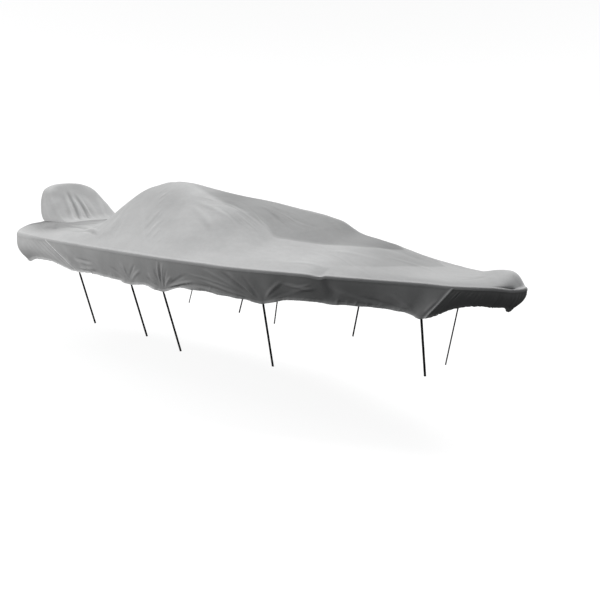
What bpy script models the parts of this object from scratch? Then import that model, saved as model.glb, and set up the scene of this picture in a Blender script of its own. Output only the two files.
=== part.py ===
"""Fitted boat cover, hollow, in the shape in which it is pulled tight and strapped down.

It is cut from one weight of coated polyester and sewn from six pieces: the top, a skirt down
each side, a stern panel that wraps both stern corners, a shirred bow panel, and a hood over an
opening in the top at the stern.  Ten flat webbing straps are sewn inside the hem, five a side.

Lengths are in metres.  In the tables x runs forward from the point that holds the cover up,
y runs to port and z is the height above the ground.
"""
from collections import namedtuple
import math

import bpy
import numpy as np

CLOTH = 0.002
SEAM_GAP = 0.0003
SUPPORT_HEIGHT = 2.381

# The top, one row a section from stern to bow.  The rail is the line where the top turns down
# into the skirt, the edge is the soft shoulder just inside it, the hip is where the raised
# middle breaks, and the ridge is the centreline.
Section = namedtuple("Section", "x rail_y rail_z edge_up hip_y hip_z ridge_z")
SECTIONS = (
    Section(-2.38, 1.03, 1.640, 0.020, 0.50, 1.690, 1.700),
    Section(-2.20, 1.10, 1.632, 0.025, 0.50, 1.722, 1.740),
    Section(-1.95, 1.16, 1.625, 0.030, 0.50, 1.730, 1.750),
    Section(-1.60, 1.19, 1.612, 0.040, 0.47, 1.740, 1.760),
    Section(-1.35, 1.20, 1.605, 0.050, 0.42, 1.755, 1.775),
    Section(-1.12, 1.21, 1.600, 0.060, 0.36, 1.795, 1.850),
    Section(-0.90, 1.22, 1.595, 0.075, 0.31, 1.900, 1.985),
    Section(-0.72, 1.22, 1.593, 0.085, 0.30, 2.065, 2.130),
    Section(-0.52, 1.22, 1.590, 0.095, 0.29, 2.180, 2.240),
    Section(-0.25, 1.23, 1.586, 0.100, 0.26, 2.265, 2.335),
    Section(0.00, 1.23, 1.583, 0.105, 0.25, 2.300, 2.385),
    Section(0.20, 1.23, 1.580, 0.110, 0.25, 2.300, 2.379),
    Section(0.60, 1.24, 1.578, 0.110, 0.28, 2.250, 2.320),
    Section(1.05, 1.24, 1.575, 0.105, 0.36, 2.190, 2.256),
    Section(1.50, 1.23, 1.575, 0.100, 0.47, 2.115, 2.222),
    Section(1.90, 1.22, 1.575, 0.090, 0.48, 1.935, 2.172),
    Section(2.15, 1.20, 1.576, 0.085, 0.44, 1.850, 2.135),
    Section(2.55, 1.14, 1.580, 0.085, 0.36, 1.825, 2.075),
    Section(2.75, 1.09, 1.580, 0.085, 0.33, 1.820, 2.025),
    Section(2.92, 1.05, 1.580, 0.085, 0.31, 1.815, 1.935),
    Section(3.28, 0.91, 1.572, 0.070, 0.28, 1.790, 1.845),
    Section(3.70, 0.71, 1.560, 0.045, 0.22, 1.680, 1.720),
    Section(4.05, 0.55, 1.552, 0.032, 0.17, 1.608, 1.630),
    Section(4.31, 0.45, 1.543, 0.028, 0.15, 1.592, 1.606),
    Section(4.59, 0.335, 1.523, 0.035, 0.13, 1.640, 1.672),
    Section(4.70, 0.28, 1.502, 0.030, 0.10, 1.610, 1.645),
    Section(4.77, 0.22, 1.470, 0.020, 0.08, 1.515, 1.530),
)
EDGE_IN = 0.12
# How far the two ends bulge past their last section on the centreline, how far from the end
# that bulge begins, and the power that makes it full across the middle.
Bulge = namedtuple("Bulge", "out reach power")
STERN_BULGE = Bulge(0.26, 0.90, 4)
BOW_BULGE = Bulge(0.09, 0.70, 2)

# Sections are laid out evenly inside each span.
Span = namedtuple("Span", "start end cells")
SPANS = (
    Span(-2.38, -2.32, 1),
    Span(-2.32, -1.60, 7),
    Span(-1.60, 2.50, 33),
    Span(2.50, 3.10, 6),
    Span(3.10, 4.50, 12),
    Span(4.50, 4.77, 4),
)
STERN_X, BOW_X = SPANS[0].start, SPANS[-1].end
HIP_CELLS = 3
FLANK_CELLS = 3
HALF_CELLS = HIP_CELLS + FLANK_CELLS + 1
# The opening under the hood fills the second span, from hip to hip.
HOLE_FIRST = SPANS[0].cells
HOLE_LAST = HOLE_FIRST + SPANS[1].cells

# The hem, one row a scallop: how far it hangs below the rail and how far it draws in under it.
# The low rows are at the straps.
Hem = namedtuple("Hem", "x drop draw_in")
HEMS = (
    Hem(-2.36, 0.470, 0.050),
    Hem(-2.09, 0.440, 0.050),
    Hem(-1.82, 0.370, 0.045),
    Hem(-1.28, 0.330, 0.045),
    Hem(-0.78, 0.400, 0.065),
    Hem(-0.63, 0.405, 0.070),
    Hem(-0.50, 0.385, 0.060),
    Hem(-0.20, 0.385, 0.060),
    Hem(0.20, 0.395, 0.070),
    Hem(0.39, 0.415, 0.075),
    Hem(0.65, 0.385, 0.070),
    Hem(0.95, 0.425, 0.085),
    Hem(1.25, 0.345, 0.065),
    Hem(1.62, 0.335, 0.070),
    Hem(2.15, 0.355, 0.080),
    Hem(2.42, 0.380, 0.100),
    Hem(2.75, 0.310, 0.085),
    Hem(3.10, 0.305, 0.090),
    Hem(3.60, 0.305, 0.090),
    Hem(3.93, 0.345, 0.080),
    Hem(4.00, 0.372, 0.070),
    Hem(4.08, 0.350, 0.080),
    Hem(4.30, 0.250, 0.110),
    Hem(4.77, 0.210, 0.150),
)
STERN_DROP, STERN_DRAW_IN = 0.450, 0.050
BOW_DROP, BOW_DRAW_IN = 0.250, 0.210
BOW_DROP_POWER = 4
SKIRT_ROWS = 4
SKIRT_CURL = 1.3
RAIL_ROLL_OUT, RAIL_ROLL_DOWN = 0.018, 0.0234

# Where the stern and bow panels end on the rail, how far along the skirt their seams lean, and
# how far aft and forward of the seam the cloth leans with it.
Seam = namedtuple("Seam", "x slant reach_aft reach_forward")
STERN_SEAM = Seam(-1.40, 0.62, 1.00, 1.80)
BOW_SEAM = Seam(4.30, -0.20, 0.90, 0.45)

# Straps, the same on both sides: where each leaves the hem and where it ends below it.
Strap = namedtuple("Strap", "hem_x end_x end_y end_z")
STRAPS = (
    Strap(-0.72, -0.74, 0.900, 0.43),
    Strap(0.39, 0.34, 0.900, 0.43),
    Strap(0.95, 1.00, 0.930, 0.36),
    Strap(2.42, 2.40, 0.850, 0.43),
    Strap(4.00, 3.98, 0.260, 0.50),
)
STRAP_WIDTH = 0.025
STRAP_THICKNESS = 0.0018
STRAP_TAIL = 0.060
STRAP_SEGMENTS = 6
STRAP_BEND_CLEARANCE = 0.0005
# The folds that a strap pulls into the skirt on both sides of it.
PULL_REACH = 0.34
PULL_WAVE = 0.30
PULL_DEPTH = 0.012
PULL_PHASE = 0.6
PULL_POWER = 3

# The hood, one row a ring from its seam on the top up to the crown.
Ring = namedtuple("Ring", "z aft_x front_x half_width squareness")
HOOD_RINGS = (
    Ring(1.735, -2.58, -1.70, 0.545, 3.8),
    Ring(1.800, -2.62, -1.87, 0.540, 3.6),
    Ring(1.930, -2.65, -2.04, 0.515, 3.4),
    Ring(2.060, -2.67, -2.20, 0.475, 3.2),
    Ring(2.170, -2.67, -2.31, 0.420, 3.0),
    Ring(2.240, -2.63, -2.38, 0.320, 2.7),
    Ring(2.278, -2.56, -2.43, 0.170, 2.4),
)
HOOD_TOP = (-2.49, 0.0, 2.288)

# Broad folds of the top.  Each is a ridge or a trough between two places, given as x and cells
# from the centreline, port positive.
Fold = namedtuple("Fold", "x_from cell_from x_to cell_to half_width height")
FOLDS = (
    Fold(-0.35, -2.0, -0.75, -6.4, 0.11, 0.010),
    Fold(0.05, -3.0, 0.30, -6.6, 0.12, 0.009),
    Fold(0.55, -3.0, 0.85, -6.2, 0.10, -0.008),
    Fold(-1.20, -3.2, -1.90, -5.6, 0.10, -0.010),
    Fold(1.10, -2.0, 2.30, -3.4, 0.12, 0.009),
    Fold(-0.30, 2.2, -0.60, 6.2, 0.12, 0.009),
    Fold(0.40, 3.0, 0.75, 6.4, 0.11, -0.009),
    Fold(-1.15, 3.4, -1.95, 5.8, 0.10, -0.010),
    Fold(1.30, 2.4, 2.40, 4.2, 0.12, 0.010),
    Fold(2.95, -2.6, 3.90, -1.4, 0.10, -0.008),
    Fold(-1.05, -4.6, -0.35, -4.4, 0.16, -0.040),
    Fold(-1.05, 4.6, -0.40, 4.4, 0.16, -0.030),
)
FOLD_FULL_LENGTH = 0.4
FOLD_FADE = 0.5


def smooth_through(knots, values, at):
    """Cubic through the knots that is level wherever the values turn back."""
    steps = np.diff(knots)
    chords = np.diff(values) / steps
    slopes = np.gradient(values, knots)
    for k in range(1, len(knots) - 1):
        if chords[k - 1] * chords[k] <= 0:
            slopes[k] = 0.0
    left = int(np.clip(np.searchsorted(knots, at) - 1, 0, len(steps) - 1))
    t = (min(max(at, knots[0]), knots[-1]) - knots[left]) / steps[left]
    rise = values[left] * (1 + 2 * t) * (1 - t) ** 2 + values[left + 1] * t * t * (3 - 2 * t)
    lean = slopes[left] * t * (1 - t) ** 2 - slopes[left + 1] * t * t * (1 - t)
    return float(rise + steps[left] * lean)


def along_table(table, x, name):
    """Value of one named column of a table at x."""
    knots = np.array([row.x for row in table])
    values = np.array([getattr(row, name) for row in table])
    return smooth_through(knots, values, x)


def fade(distance, reach):
    """1 at no distance, falling smoothly to 0 at the reach."""
    t = min(abs(distance) / reach, 1.0)
    return 1 - t * t * (3 - 2 * t)


def unit(vector):
    return vector / np.linalg.norm(vector)


def fold_height(x, cell, cell_size):
    """Sum of the broad folds at a place on the top."""
    total = 0.0
    for fold in FOLDS:
        run = np.array([fold.x_to - fold.x_from, (fold.cell_to - fold.cell_from) * cell_size])
        here = np.array([x - fold.x_from, (cell - fold.cell_from) * cell_size])
        along = float(here @ run / (run @ run))
        nearest = run * min(max(along, 0.0), 1.0)
        away = float(np.linalg.norm(here - nearest))
        from_middle = max(abs(along - 0.5) - FOLD_FULL_LENGTH / 2, 0.0)
        profile = math.exp(-((away / fold.half_width) ** 2))
        total += fold.height * profile * fade(from_middle, FOLD_FADE)
    return total


def top_point(x, cell):
    """A point of the top, at a section and a number of cells from the centreline."""
    rail_y = along_table(SECTIONS, x, "rail_y")
    rail_z = along_table(SECTIONS, x, "rail_z")
    edge_y = rail_y * (1 - EDGE_IN / SECTIONS[0].rail_y)
    edge_z = rail_z + along_table(SECTIONS, x, "edge_up")
    hip_y = along_table(SECTIONS, x, "hip_y")
    hip_z = along_table(SECTIONS, x, "hip_z")
    ridge_z = along_table(SECTIONS, x, "ridge_z")
    half_cells = [HALF_CELLS, HALF_CELLS - 1, HIP_CELLS]
    half_widths = [rail_y, edge_y, hip_y]
    half_heights = [rail_z, edge_z, hip_z]
    cells = np.array([-c for c in half_cells] + [0] + half_cells[::-1])
    widths = np.array([-w for w in half_widths] + [0.0] + half_widths[::-1])
    heights = np.array(half_heights + [ridge_z] + half_heights[::-1])
    across = abs(cell) / HALF_CELLS
    bow_out = BOW_BULGE.out * fade(x - BOW_X, BOW_BULGE.reach)
    stern_out = STERN_BULGE.out * fade(x - STERN_X, STERN_BULGE.reach)
    bulge = bow_out * (1 - across**BOW_BULGE.power) - stern_out * (1 - across**STERN_BULGE.power)
    fold = fold_height(x, cell, rail_y / HALF_CELLS) * min(1.0, HALF_CELLS - abs(cell))
    return np.array([
        x + bulge,
        smooth_through(cells, widths, cell),
        smooth_through(cells, heights, cell) + fold,
    ])


def section_places():
    """The x of every section, stern to bow."""
    places = [STERN_X]
    for span in SPANS:
        step = (span.end - span.start) / span.cells
        places += [span.start + step * (k + 1) for k in range(span.cells)]
    return places


class Cloth:
    """The whole cover as one welded outer surface, whose triangles each belong to one panel."""

    def __init__(self):
        self.points = []
        self.faces = []

    def add(self, point):
        self.points.append(np.array(point, float))
        return len(self.points) - 1

    def quad(self, panel, a, b, c, d):
        """Two triangles, split along the shorter diagonal."""
        p = self.points
        if np.linalg.norm(p[a] - p[c]) <= np.linalg.norm(p[b] - p[d]):
            self.faces += [(panel, (a, b, c)), (panel, (a, c, d))]
        else:
            self.faces += [(panel, (a, b, d)), (panel, (b, c, d))]

    def band(self, panel_of, lower, upper):
        """A closed band of quads between two loops of points."""
        count = len(lower)
        for k in range(count):
            n = (k + 1) % count
            self.quad(panel_of(k), lower[k], lower[n], upper[n], upper[k])

    def normals(self):
        """Outward unit normal of every point."""
        total = np.zeros((len(self.points), 3))
        for _, (a, b, c) in self.faces:
            cross = np.cross(self.points[b] - self.points[a], self.points[c] - self.points[a])
            for k in (a, b, c):
                total[k] += cross
        return total / np.linalg.norm(total, axis=1)[:, None]


def hood_outline(ring, angle):
    """Point of one hood ring in the direction of an angle from its middle, in plan."""
    middle = (ring.aft_x + ring.front_x) / 2
    half_length = (ring.front_x - ring.aft_x) / 2
    c, s = math.cos(angle), math.sin(angle)
    power = ring.squareness
    size = (abs(c) ** power + abs(s) ** power) ** (-1 / power)
    return np.array([middle + half_length * c * size, ring.half_width * s * size, ring.z])


def hood_angle(row, cell):
    """Direction from the middle of the hood's opening to a place on its edge."""
    forward = (2 * row - HOLE_FIRST - HOLE_LAST) / (HOLE_LAST - HOLE_FIRST)
    return math.atan2(cell / HIP_CELLS, forward)


def lay_out_top(cloth, places):
    """The top between the rails, with its opening.  Returns the points by section and cell."""
    grid = {}
    for row, x in enumerate(places):
        for cell in range(-HALF_CELLS, HALF_CELLS + 1):
            across_hole = abs(cell) <= HIP_CELLS and HOLE_FIRST <= row <= HOLE_LAST
            inside_hole = abs(cell) < HIP_CELLS and HOLE_FIRST < row < HOLE_LAST
            if inside_hole:
                continue
            point = top_point(x, cell)
            if across_hole:
                point[:2] = hood_outline(HOOD_RINGS[0], hood_angle(row, cell))[:2]
            grid[row, cell] = cloth.add(point)
    for row in range(len(places) - 1):
        for cell in range(-HALF_CELLS, HALF_CELLS):
            if HOLE_FIRST <= row < HOLE_LAST and -HIP_CELLS <= cell < HIP_CELLS:
                continue
            corners = ((row, cell), (row + 1, cell), (row + 1, cell + 1), (row, cell + 1))
            cloth.quad("top", *[grid[corner] for corner in corners])
    return grid


def lay_out_hood(cloth, grid):
    """The hood rises from the edge of its opening in rings, and closes at the crown."""
    edge = [(row, -HIP_CELLS) for row in range(HOLE_FIRST, HOLE_LAST)]
    edge += [(HOLE_LAST, cell) for cell in range(-HIP_CELLS, HIP_CELLS)]
    edge += [(row, HIP_CELLS) for row in range(HOLE_LAST, HOLE_FIRST, -1)]
    edge += [(HOLE_FIRST, cell) for cell in range(HIP_CELLS, -HIP_CELLS, -1)]
    lower = [grid[key] for key in edge]
    for ring in HOOD_RINGS[1:]:
        upper = [cloth.add(hood_outline(ring, hood_angle(*key))) for key in edge]
        cloth.band(lambda k: "stern_hood", lower, upper)
        lower = upper
    crown = cloth.add(HOOD_TOP)
    for k in range(len(lower)):
        cloth.faces.append(("stern_hood", (lower[k], lower[(k + 1) % len(lower)], crown)))


def rail_loop(places):
    """Keys of the rail: forward along starboard, round the bow, aft along port, across the stern."""
    last = len(places) - 1
    loop = [(row, -HALF_CELLS) for row in range(last)]
    loop += [(last, cell) for cell in range(-HALF_CELLS, HALF_CELLS)]
    loop += [(row, HALF_CELLS) for row in range(last, 0, -1)]
    loop += [(0, cell) for cell in range(HALF_CELLS, -HALF_CELLS, -1)]
    return loop


def skirt_panel(places, loop, k):
    """The panel below a stretch of the rail."""
    row, cell = loop[k]
    next_row = loop[(k + 1) % len(loop)][0]
    x = (places[row] + places[next_row]) / 2
    if row == next_row == len(places) - 1 or x > BOW_SEAM.x:
        return "bow_panel"
    if row == next_row == 0 or x < STERN_SEAM.x:
        return "stern_panel"
    return "starboard_skirt" if cell < 0 else "port_skirt"


def slant_at(x):
    """How far the cloth of the skirt leans forward between the rail at x and the hem."""
    total = 0.0
    for seam in (STERN_SEAM, BOW_SEAM):
        reach = seam.reach_forward if x > seam.x else seam.reach_aft
        total += seam.slant * fade(x - seam.x, reach)
    return total


def skirt_point(places, key, rail, outward, t):
    """Point of the skirt below one point of the rail, t from 0 at the rail to 1 at the hem."""
    row, cell = key
    x = places[row]
    side = 1 if cell > 0 else -1
    across = abs(cell) / HALF_CELLS
    hem_x = x + slant_at(x)
    drop, draw_in = along_table(HEMS, hem_x, "drop"), along_table(HEMS, hem_x, "draw_in")
    if row == 0:
        drop += (STERN_DROP - drop) * (1 - across**2)
        draw_in += (STERN_DRAW_IN - draw_in) * (1 - across**2)
    if row == len(places) - 1:
        drop += (BOW_DROP - drop) * (1 - across**BOW_DROP_POWER)
        draw_in += (BOW_DRAW_IN - draw_in) * (1 - across**2)
    slant = slant_at(x) * t
    pull = 0.0
    for strap in STRAPS:
        away = x + slant - strap.hem_x
        fold = math.cos(2 * math.pi * away / PULL_WAVE + PULL_PHASE * side)
        pull += PULL_DEPTH * fold * fade(away, PULL_REACH)
    down = RAIL_ROLL_DOWN + t * (drop - RAIL_ROLL_DOWN)
    out = RAIL_ROLL_OUT - (RAIL_ROLL_OUT + draw_in) * t**SKIRT_CURL - pull * t * across**PULL_POWER
    point = rail + outward * out - np.array([0.0, 0.0, down])
    if across == 1:
        point += slant * side * np.array([outward[1], -outward[0], 0.0])
    return point


def lay_out_skirt(cloth, grid, places, loop):
    """The skirt all round, in rows down from the rail.  Returns the rows."""
    rail = [cloth.points[grid[key]] for key in loop]
    count = len(loop)
    outward = []
    for k in range(count):
        run = rail[(k + 1) % count] - rail[k - 1]
        outward.append(unit(np.array([run[1], -run[0], 0.0])))
    rolled = []
    for k in range(count):
        roll = outward[k] * RAIL_ROLL_OUT - np.array([0.0, 0.0, RAIL_ROLL_DOWN])
        rolled.append(cloth.add(rail[k] + roll))
    cloth.band(lambda k: "top", rolled, [grid[key] for key in loop])
    rows = [rolled]
    for r in range(1, SKIRT_ROWS + 1):
        row = []
        for k in range(count):
            point = skirt_point(places, loop[k], rail[k], outward[k], r / SKIRT_ROWS)
            row.append(cloth.add(point))
        cloth.band(lambda k: skirt_panel(places, loop, k), row, rows[-1])
        rows.append(row)
    return rows


def drawn_back(cloth, normals, k, neighbours, others):
    """A point of a panel, moved off the seam that it lies on and into its own panel."""
    point = cloth.points[k]
    inner = [cloth.points[n] for n in neighbours if n not in others]
    if k not in others or not inner:
        return point
    seam = [cloth.points[n] for n in sorted(neighbours & others)]
    along = unit(seam[-1] - (seam[0] if len(seam) > 1 else point))
    back = np.mean(inner, axis=0) - point
    back -= normals[k] * (back @ normals[k])
    back -= along * (back @ along)
    return point + unit(back) * SEAM_GAP


def panel_mesh(cloth, normals, panel):
    """One panel as a closed sheet of the cloth's thickness, clear of the next at its seams."""
    own = [face for name, face in cloth.faces if name == panel]
    others = {k for name, face in cloth.faces if name != panel for k in face}
    used = sorted({k for face in own for k in face})
    neighbours = {k: set() for k in used}
    for face in own:
        for k in face:
            neighbours[k] |= set(face) - {k}
    lift = np.array([0.0, 0.0, SUPPORT_HEIGHT])
    outer = [drawn_back(cloth, normals, k, neighbours[k], others) - lift for k in used]
    inner = [point - normals[k] * CLOTH for point, k in zip(outer, used)]
    count = len(used)
    place = {k: n for n, k in enumerate(used)}
    front = [tuple(place[k] for k in face) for face in own]
    back = [(a + count, c + count, b + count) for a, b, c in front]
    edges = {edge for a, b, c in front for edge in ((a, b), (b, c), (c, a))}
    walls = []
    for a, b in sorted(edges):
        if (b, a) not in edges:
            walls += [(b, a, a + count), (b, a + count, b + count)]
    return outer + inner, front + back + walls


def beyond(facets, point, direction):
    """How far the facet over a point, or nearest to it, lies from it along a direction."""
    best = None
    for corners in facets:
        edges = np.column_stack((corners[1] - corners[0], corners[2] - corners[0], -direction))
        along_one, along_two, distance = np.linalg.solve(edges, point - corners[0])
        inside = min(along_one, along_two, 1 - along_one - along_two)
        if best is None or inside > best[0]:
            best = (inside, distance)
    return best[1]


def strap_route(cloth, normals, loop, skirt_rows, strap, side):
    """Middle of a strap's outer face, sewn end first, with the directions that lie across the
    sewn end and into the hollow."""
    hem_row, above_row = skirt_rows[-1], skirt_rows[-2]

    def inner_side(k):
        return cloth.points[k] - normals[k] * CLOTH

    def middle_x(k):
        return (inner_side(hem_row[k])[0] + inner_side(hem_row[k + 1])[0]) / 2

    own_side = [k for k, key in enumerate(loop[:-1]) if key[1] == loop[k + 1][1] == side * HALF_CELLS]
    cell = min(own_side, key=lambda k: abs(middle_x(k) - strap.hem_x))
    start, end = inner_side(hem_row[cell]), inner_side(hem_row[cell + 1])
    margin = STRAP_WIDTH / np.linalg.norm(end - start)
    share = (strap.hem_x - start[0]) / (end[0] - start[0])
    low = start + (end - start) * min(max(share, margin), 1 - margin)
    inward = -unit(np.cross(end - start, inner_side(above_row[cell]) - start))
    upright = np.array([0.0, 0.0, 1.0])
    up = unit(upright - inward * (upright @ inward))
    across = np.cross(up, inward)

    # The strap lies as close to the cloth as the facets round it allow.
    near = {row[k] for row in (hem_row, above_row) for k in range(cell - 1, cell + 3)}
    facets = [np.array([inner_side(k) for k in face]) for _, face in cloth.faces if set(face) <= near]
    stand_off = SEAM_GAP
    for a in np.linspace(-0.5, 0.5, STRAP_SEGMENTS):
        for b in np.linspace(0, 1, STRAP_SEGMENTS):
            place = low + up * STRAP_TAIL * b + across * STRAP_WIDTH * a
            stand_off = max(stand_off, SEAM_GAP + beyond(facets, place, inward))
    sewn_top = low + up * STRAP_TAIL + inward * stand_off
    bend = low + inward * (stand_off + STRAP_BEND_CLEARANCE)
    fall = np.array([strap.end_x, side * strap.end_y, strap.end_z]) - bend
    route = [sewn_top] + [bend + fall * k / STRAP_SEGMENTS for k in range(STRAP_SEGMENTS + 1)]
    return route, across, inward


def strap_mesh(route, across, inward):
    """A flat strap: sewn flat inside the hem, then pulled straight down to its end."""
    points = []
    for k, point in enumerate(route):
        run = unit(route[min(k + 1, len(route) - 1)] - route[max(k - 1, 0)])
        wide = unit(across - run * (across @ run))
        thick = np.cross(wide, run)
        if thick @ inward < 0:
            thick = -thick
        half, depth = wide * STRAP_WIDTH / 2, thick * STRAP_THICKNESS
        ring = [point - half, point + half, point + half + depth, point - half + depth]
        points += [corner - np.array([0.0, 0.0, SUPPORT_HEIGHT]) for corner in ring]
    faces = [(3, 2, 1, 0)]
    for start in range(0, len(points) - 4, 4):
        for c in range(4):
            n = (c + 1) % 4
            faces.append((start + c, start + n, start + 4 + n, start + 4 + c))
    faces.append(tuple(range(len(points) - 4, len(points))))
    return points, faces


def material(name, colour, roughness):
    made = bpy.data.materials.new(name)
    made.use_nodes = True
    shader = made.node_tree.nodes["Principled BSDF"]
    shader.inputs["Base Color"].default_value = (*colour, 1.0)
    shader.inputs["Roughness"].default_value = roughness
    shader.inputs["Metallic"].default_value = 0.0
    return made


def add_object(name, points, faces, finish):
    mesh = bpy.data.meshes.new(name)
    mesh.from_pydata([tuple(p) for p in points], [], faces)
    mesh.validate()
    mesh.materials.append(finish)
    bpy.context.scene.collection.objects.link(bpy.data.objects.new(name, mesh))


for old in list(bpy.data.objects):
    bpy.data.objects.remove(old, do_unlink=True)

grey_cloth = material("grey_cloth", (0.40, 0.40, 0.40), 0.75)
black_webbing = material("black_webbing", (0.02, 0.02, 0.02), 0.70)

cover = Cloth()
sections = section_places()
rail_keys = rail_loop(sections)
top_grid = lay_out_top(cover, sections)
lay_out_hood(cover, top_grid)
hanging_rows = lay_out_skirt(cover, top_grid, sections, rail_keys)
cover_normals = cover.normals()

for panel in ("top", "starboard_skirt", "port_skirt", "stern_panel", "bow_panel", "stern_hood"):
    add_object(panel, *panel_mesh(cover, cover_normals, panel), grey_cloth)
for side, side_name in ((-1, "starboard"), (1, "port")):
    for number, strap in enumerate(STRAPS, 1):
        route = strap_route(cover, cover_normals, rail_keys, hanging_rows, strap, side)
        add_object(f"strap_{side_name}_{number}", *strap_mesh(*route), black_webbing)
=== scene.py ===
from collections import namedtuple
import math
import random

import bpy
import numpy as np
from mathutils import Matrix, Vector, noise


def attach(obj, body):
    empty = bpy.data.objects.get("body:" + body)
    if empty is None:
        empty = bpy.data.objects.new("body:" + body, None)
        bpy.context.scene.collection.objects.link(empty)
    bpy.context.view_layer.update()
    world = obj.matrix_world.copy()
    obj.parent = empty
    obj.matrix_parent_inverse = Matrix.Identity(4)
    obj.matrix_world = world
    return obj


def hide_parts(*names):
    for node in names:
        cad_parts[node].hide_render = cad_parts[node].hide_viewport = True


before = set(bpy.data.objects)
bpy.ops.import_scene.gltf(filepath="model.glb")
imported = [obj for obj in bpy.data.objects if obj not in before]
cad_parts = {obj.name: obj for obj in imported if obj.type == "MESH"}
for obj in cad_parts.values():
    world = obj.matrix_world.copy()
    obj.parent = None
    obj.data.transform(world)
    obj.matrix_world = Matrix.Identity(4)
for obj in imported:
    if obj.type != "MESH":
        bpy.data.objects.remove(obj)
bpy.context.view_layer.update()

# ---------------------------------------------------------------------------------------------
# Camera.  It stands off the starboard bow a little above the hem and looks down along the cover,
# rolled one degree, as the photograph was taken.
CAMERA_PLACE = (6.7676, -6.3252, 0.2942)
CAMERA_YAW, CAMERA_PITCH, CAMERA_ROLL = 0.631799, 0.207632, 0.019382
CAMERA_LENS, CAMERA_SENSOR = 39.0, 36.0

sight = Vector((
    -math.sin(CAMERA_YAW) * math.cos(CAMERA_PITCH),
    math.cos(CAMERA_YAW) * math.cos(CAMERA_PITCH),
    -math.sin(CAMERA_PITCH),
))
level_right = Vector((math.cos(CAMERA_YAW), math.sin(CAMERA_YAW), 0.0))
level_up = level_right.cross(sight)
frame_right = level_right * math.cos(CAMERA_ROLL) + level_up * math.sin(CAMERA_ROLL)
frame_up = level_up * math.cos(CAMERA_ROLL) - level_right * math.sin(CAMERA_ROLL)
turn = Matrix((frame_right, frame_up, -sight)).transposed().to_4x4()


def placed(name, data):
    """A new object in the scene."""
    made = bpy.data.objects.new(name, data)
    bpy.context.scene.collection.objects.link(made)
    return made


camera = placed("camera", bpy.data.cameras.new("camera"))
camera.data.lens = CAMERA_LENS
camera.data.sensor_width = CAMERA_SENSOR
camera.matrix_world = Matrix.Translation(CAMERA_PLACE) @ turn
bpy.context.scene.camera = camera

# ---------------------------------------------------------------------------------------------
# Ten tie-down straps.  Flat black polyester webbing, 25 mm wide, cut with a hot knife.  The top
# of each is sewn flat inside the hem, and the rest is pulled straight down and inward.
STRAP_WIDTH, STRAP_THICKNESS, STRAP_SELVEDGE = 0.025, 0.0018, 0.0012
STRAP_RIB, STRAP_WARP = 0.0016, 0.0031
# Steps of a strap's route inside the hem, below it, and until it has turned by its whole twist.
STRAP_SEWN_STEPS, STRAP_DROP_STEPS, STRAP_TWIST_STEPS = 4, 44, 4
# Faces that meet more sharply than this show an edge.
STRAP_CORNER = 50
Tie = namedtuple("Tie", "side number sewn_top bend end heading twist")
TIES = [Tie(*row) for row in (
    ("starboard", 1, (-0.708, -1.171, -1.122), (-0.705, -1.143, -1.175), (-0.740, -0.899, -1.951), 0, 48),
    ("starboard", 2, (0.368, -1.166, -1.156), (0.366, -1.150, -1.214), (0.340, -0.899, -1.951), 0, 44),
    ("starboard", 3, (0.952, -1.169, -1.166), (0.950, -1.151, -1.224), (1.000, -0.929, -2.021), 0, 41),
    ("starboard", 4, (2.425, -1.081, -1.120), (2.420, -1.058, -1.175), (2.400, -0.849, -1.951), 7, 20),
    ("starboard", 5, (4.007, -0.495, -1.133), (3.999, -0.478, -1.190), (3.980, -0.259, -1.881), 25, 5),
    ("port", 1, (-0.711, 1.170, -1.123), (-0.705, 1.147, -1.178), (-0.740, 0.899, -1.951), 0, -8),
    ("port", 2, (0.367, 1.167, -1.157), (0.366, 1.148, -1.214), (0.340, 0.899, -1.951), 0, 6),
    ("port", 3, (0.949, 1.169, -1.167), (0.950, 1.151, -1.224), (1.000, 0.929, -2.021), 0, -4),
    ("port", 4, (2.421, 1.081, -1.120), (2.420, 1.059, -1.175), (2.400, 0.849, -1.951), -7, 7),
    ("port", 5, (4.004, 0.498, -1.134), (4.000, 0.480, -1.190), (3.980, 0.259, -1.881), -25, -6),
)]


def wired(tree, kind, **settings):
    """A new shader node with its properties set."""
    made = tree.nodes.new(kind)
    for name, value in settings.items():
        setattr(made, name, value)
    return made


def feed(tree, socket, value):
    """Sets a socket to a number or links another socket to it."""
    if hasattr(value, "links"):
        tree.links.new(value, socket)
    else:
        socket.default_value = value


def sums(tree, operation, *values):
    """One step of shader arithmetic."""
    step = wired(tree, "ShaderNodeMath", operation=operation)
    for socket, value in zip(step.inputs, values):
        feed(tree, socket, value)
    return step.outputs[0]


def blended(tree, *parts):
    """Sum of shader values, each times its weight."""
    total = 0.0
    for value, weight in parts:
        total = sums(tree, "ADD", total, sums(tree, "MULTIPLY", value, weight))
    return total


def threads(tree, along, pitch):
    """Threads laid side by side at a pitch, from -1 to 1."""
    return sums(tree, "SINE", sums(tree, "MULTIPLY", along, 2 * math.pi / pitch))


def two_tone(tree, value, dark_at, dark, light_at, light):
    """Colour between a dark and a light one, reached at two values."""
    tone = wired(tree, "ShaderNodeValToRGB")
    for end, at, colour in zip(tone.color_ramp.elements, (dark_at, light_at), (dark, light)):
        end.position = at
        end.color = (*colour, 1)
    tree.links.new(value, tone.inputs["Fac"])
    return tone.outputs["Color"]


def grain(tree, places, scale, detail):
    """Cloudy noise from 0 to 1 over some coordinates."""
    cloud = wired(tree, "ShaderNodeTexNoise")
    feed(tree, cloud.inputs["Vector"], places)
    cloud.inputs["Scale"].default_value = scale
    cloud.inputs["Detail"].default_value = detail
    return cloud.outputs["Fac"]


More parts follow.
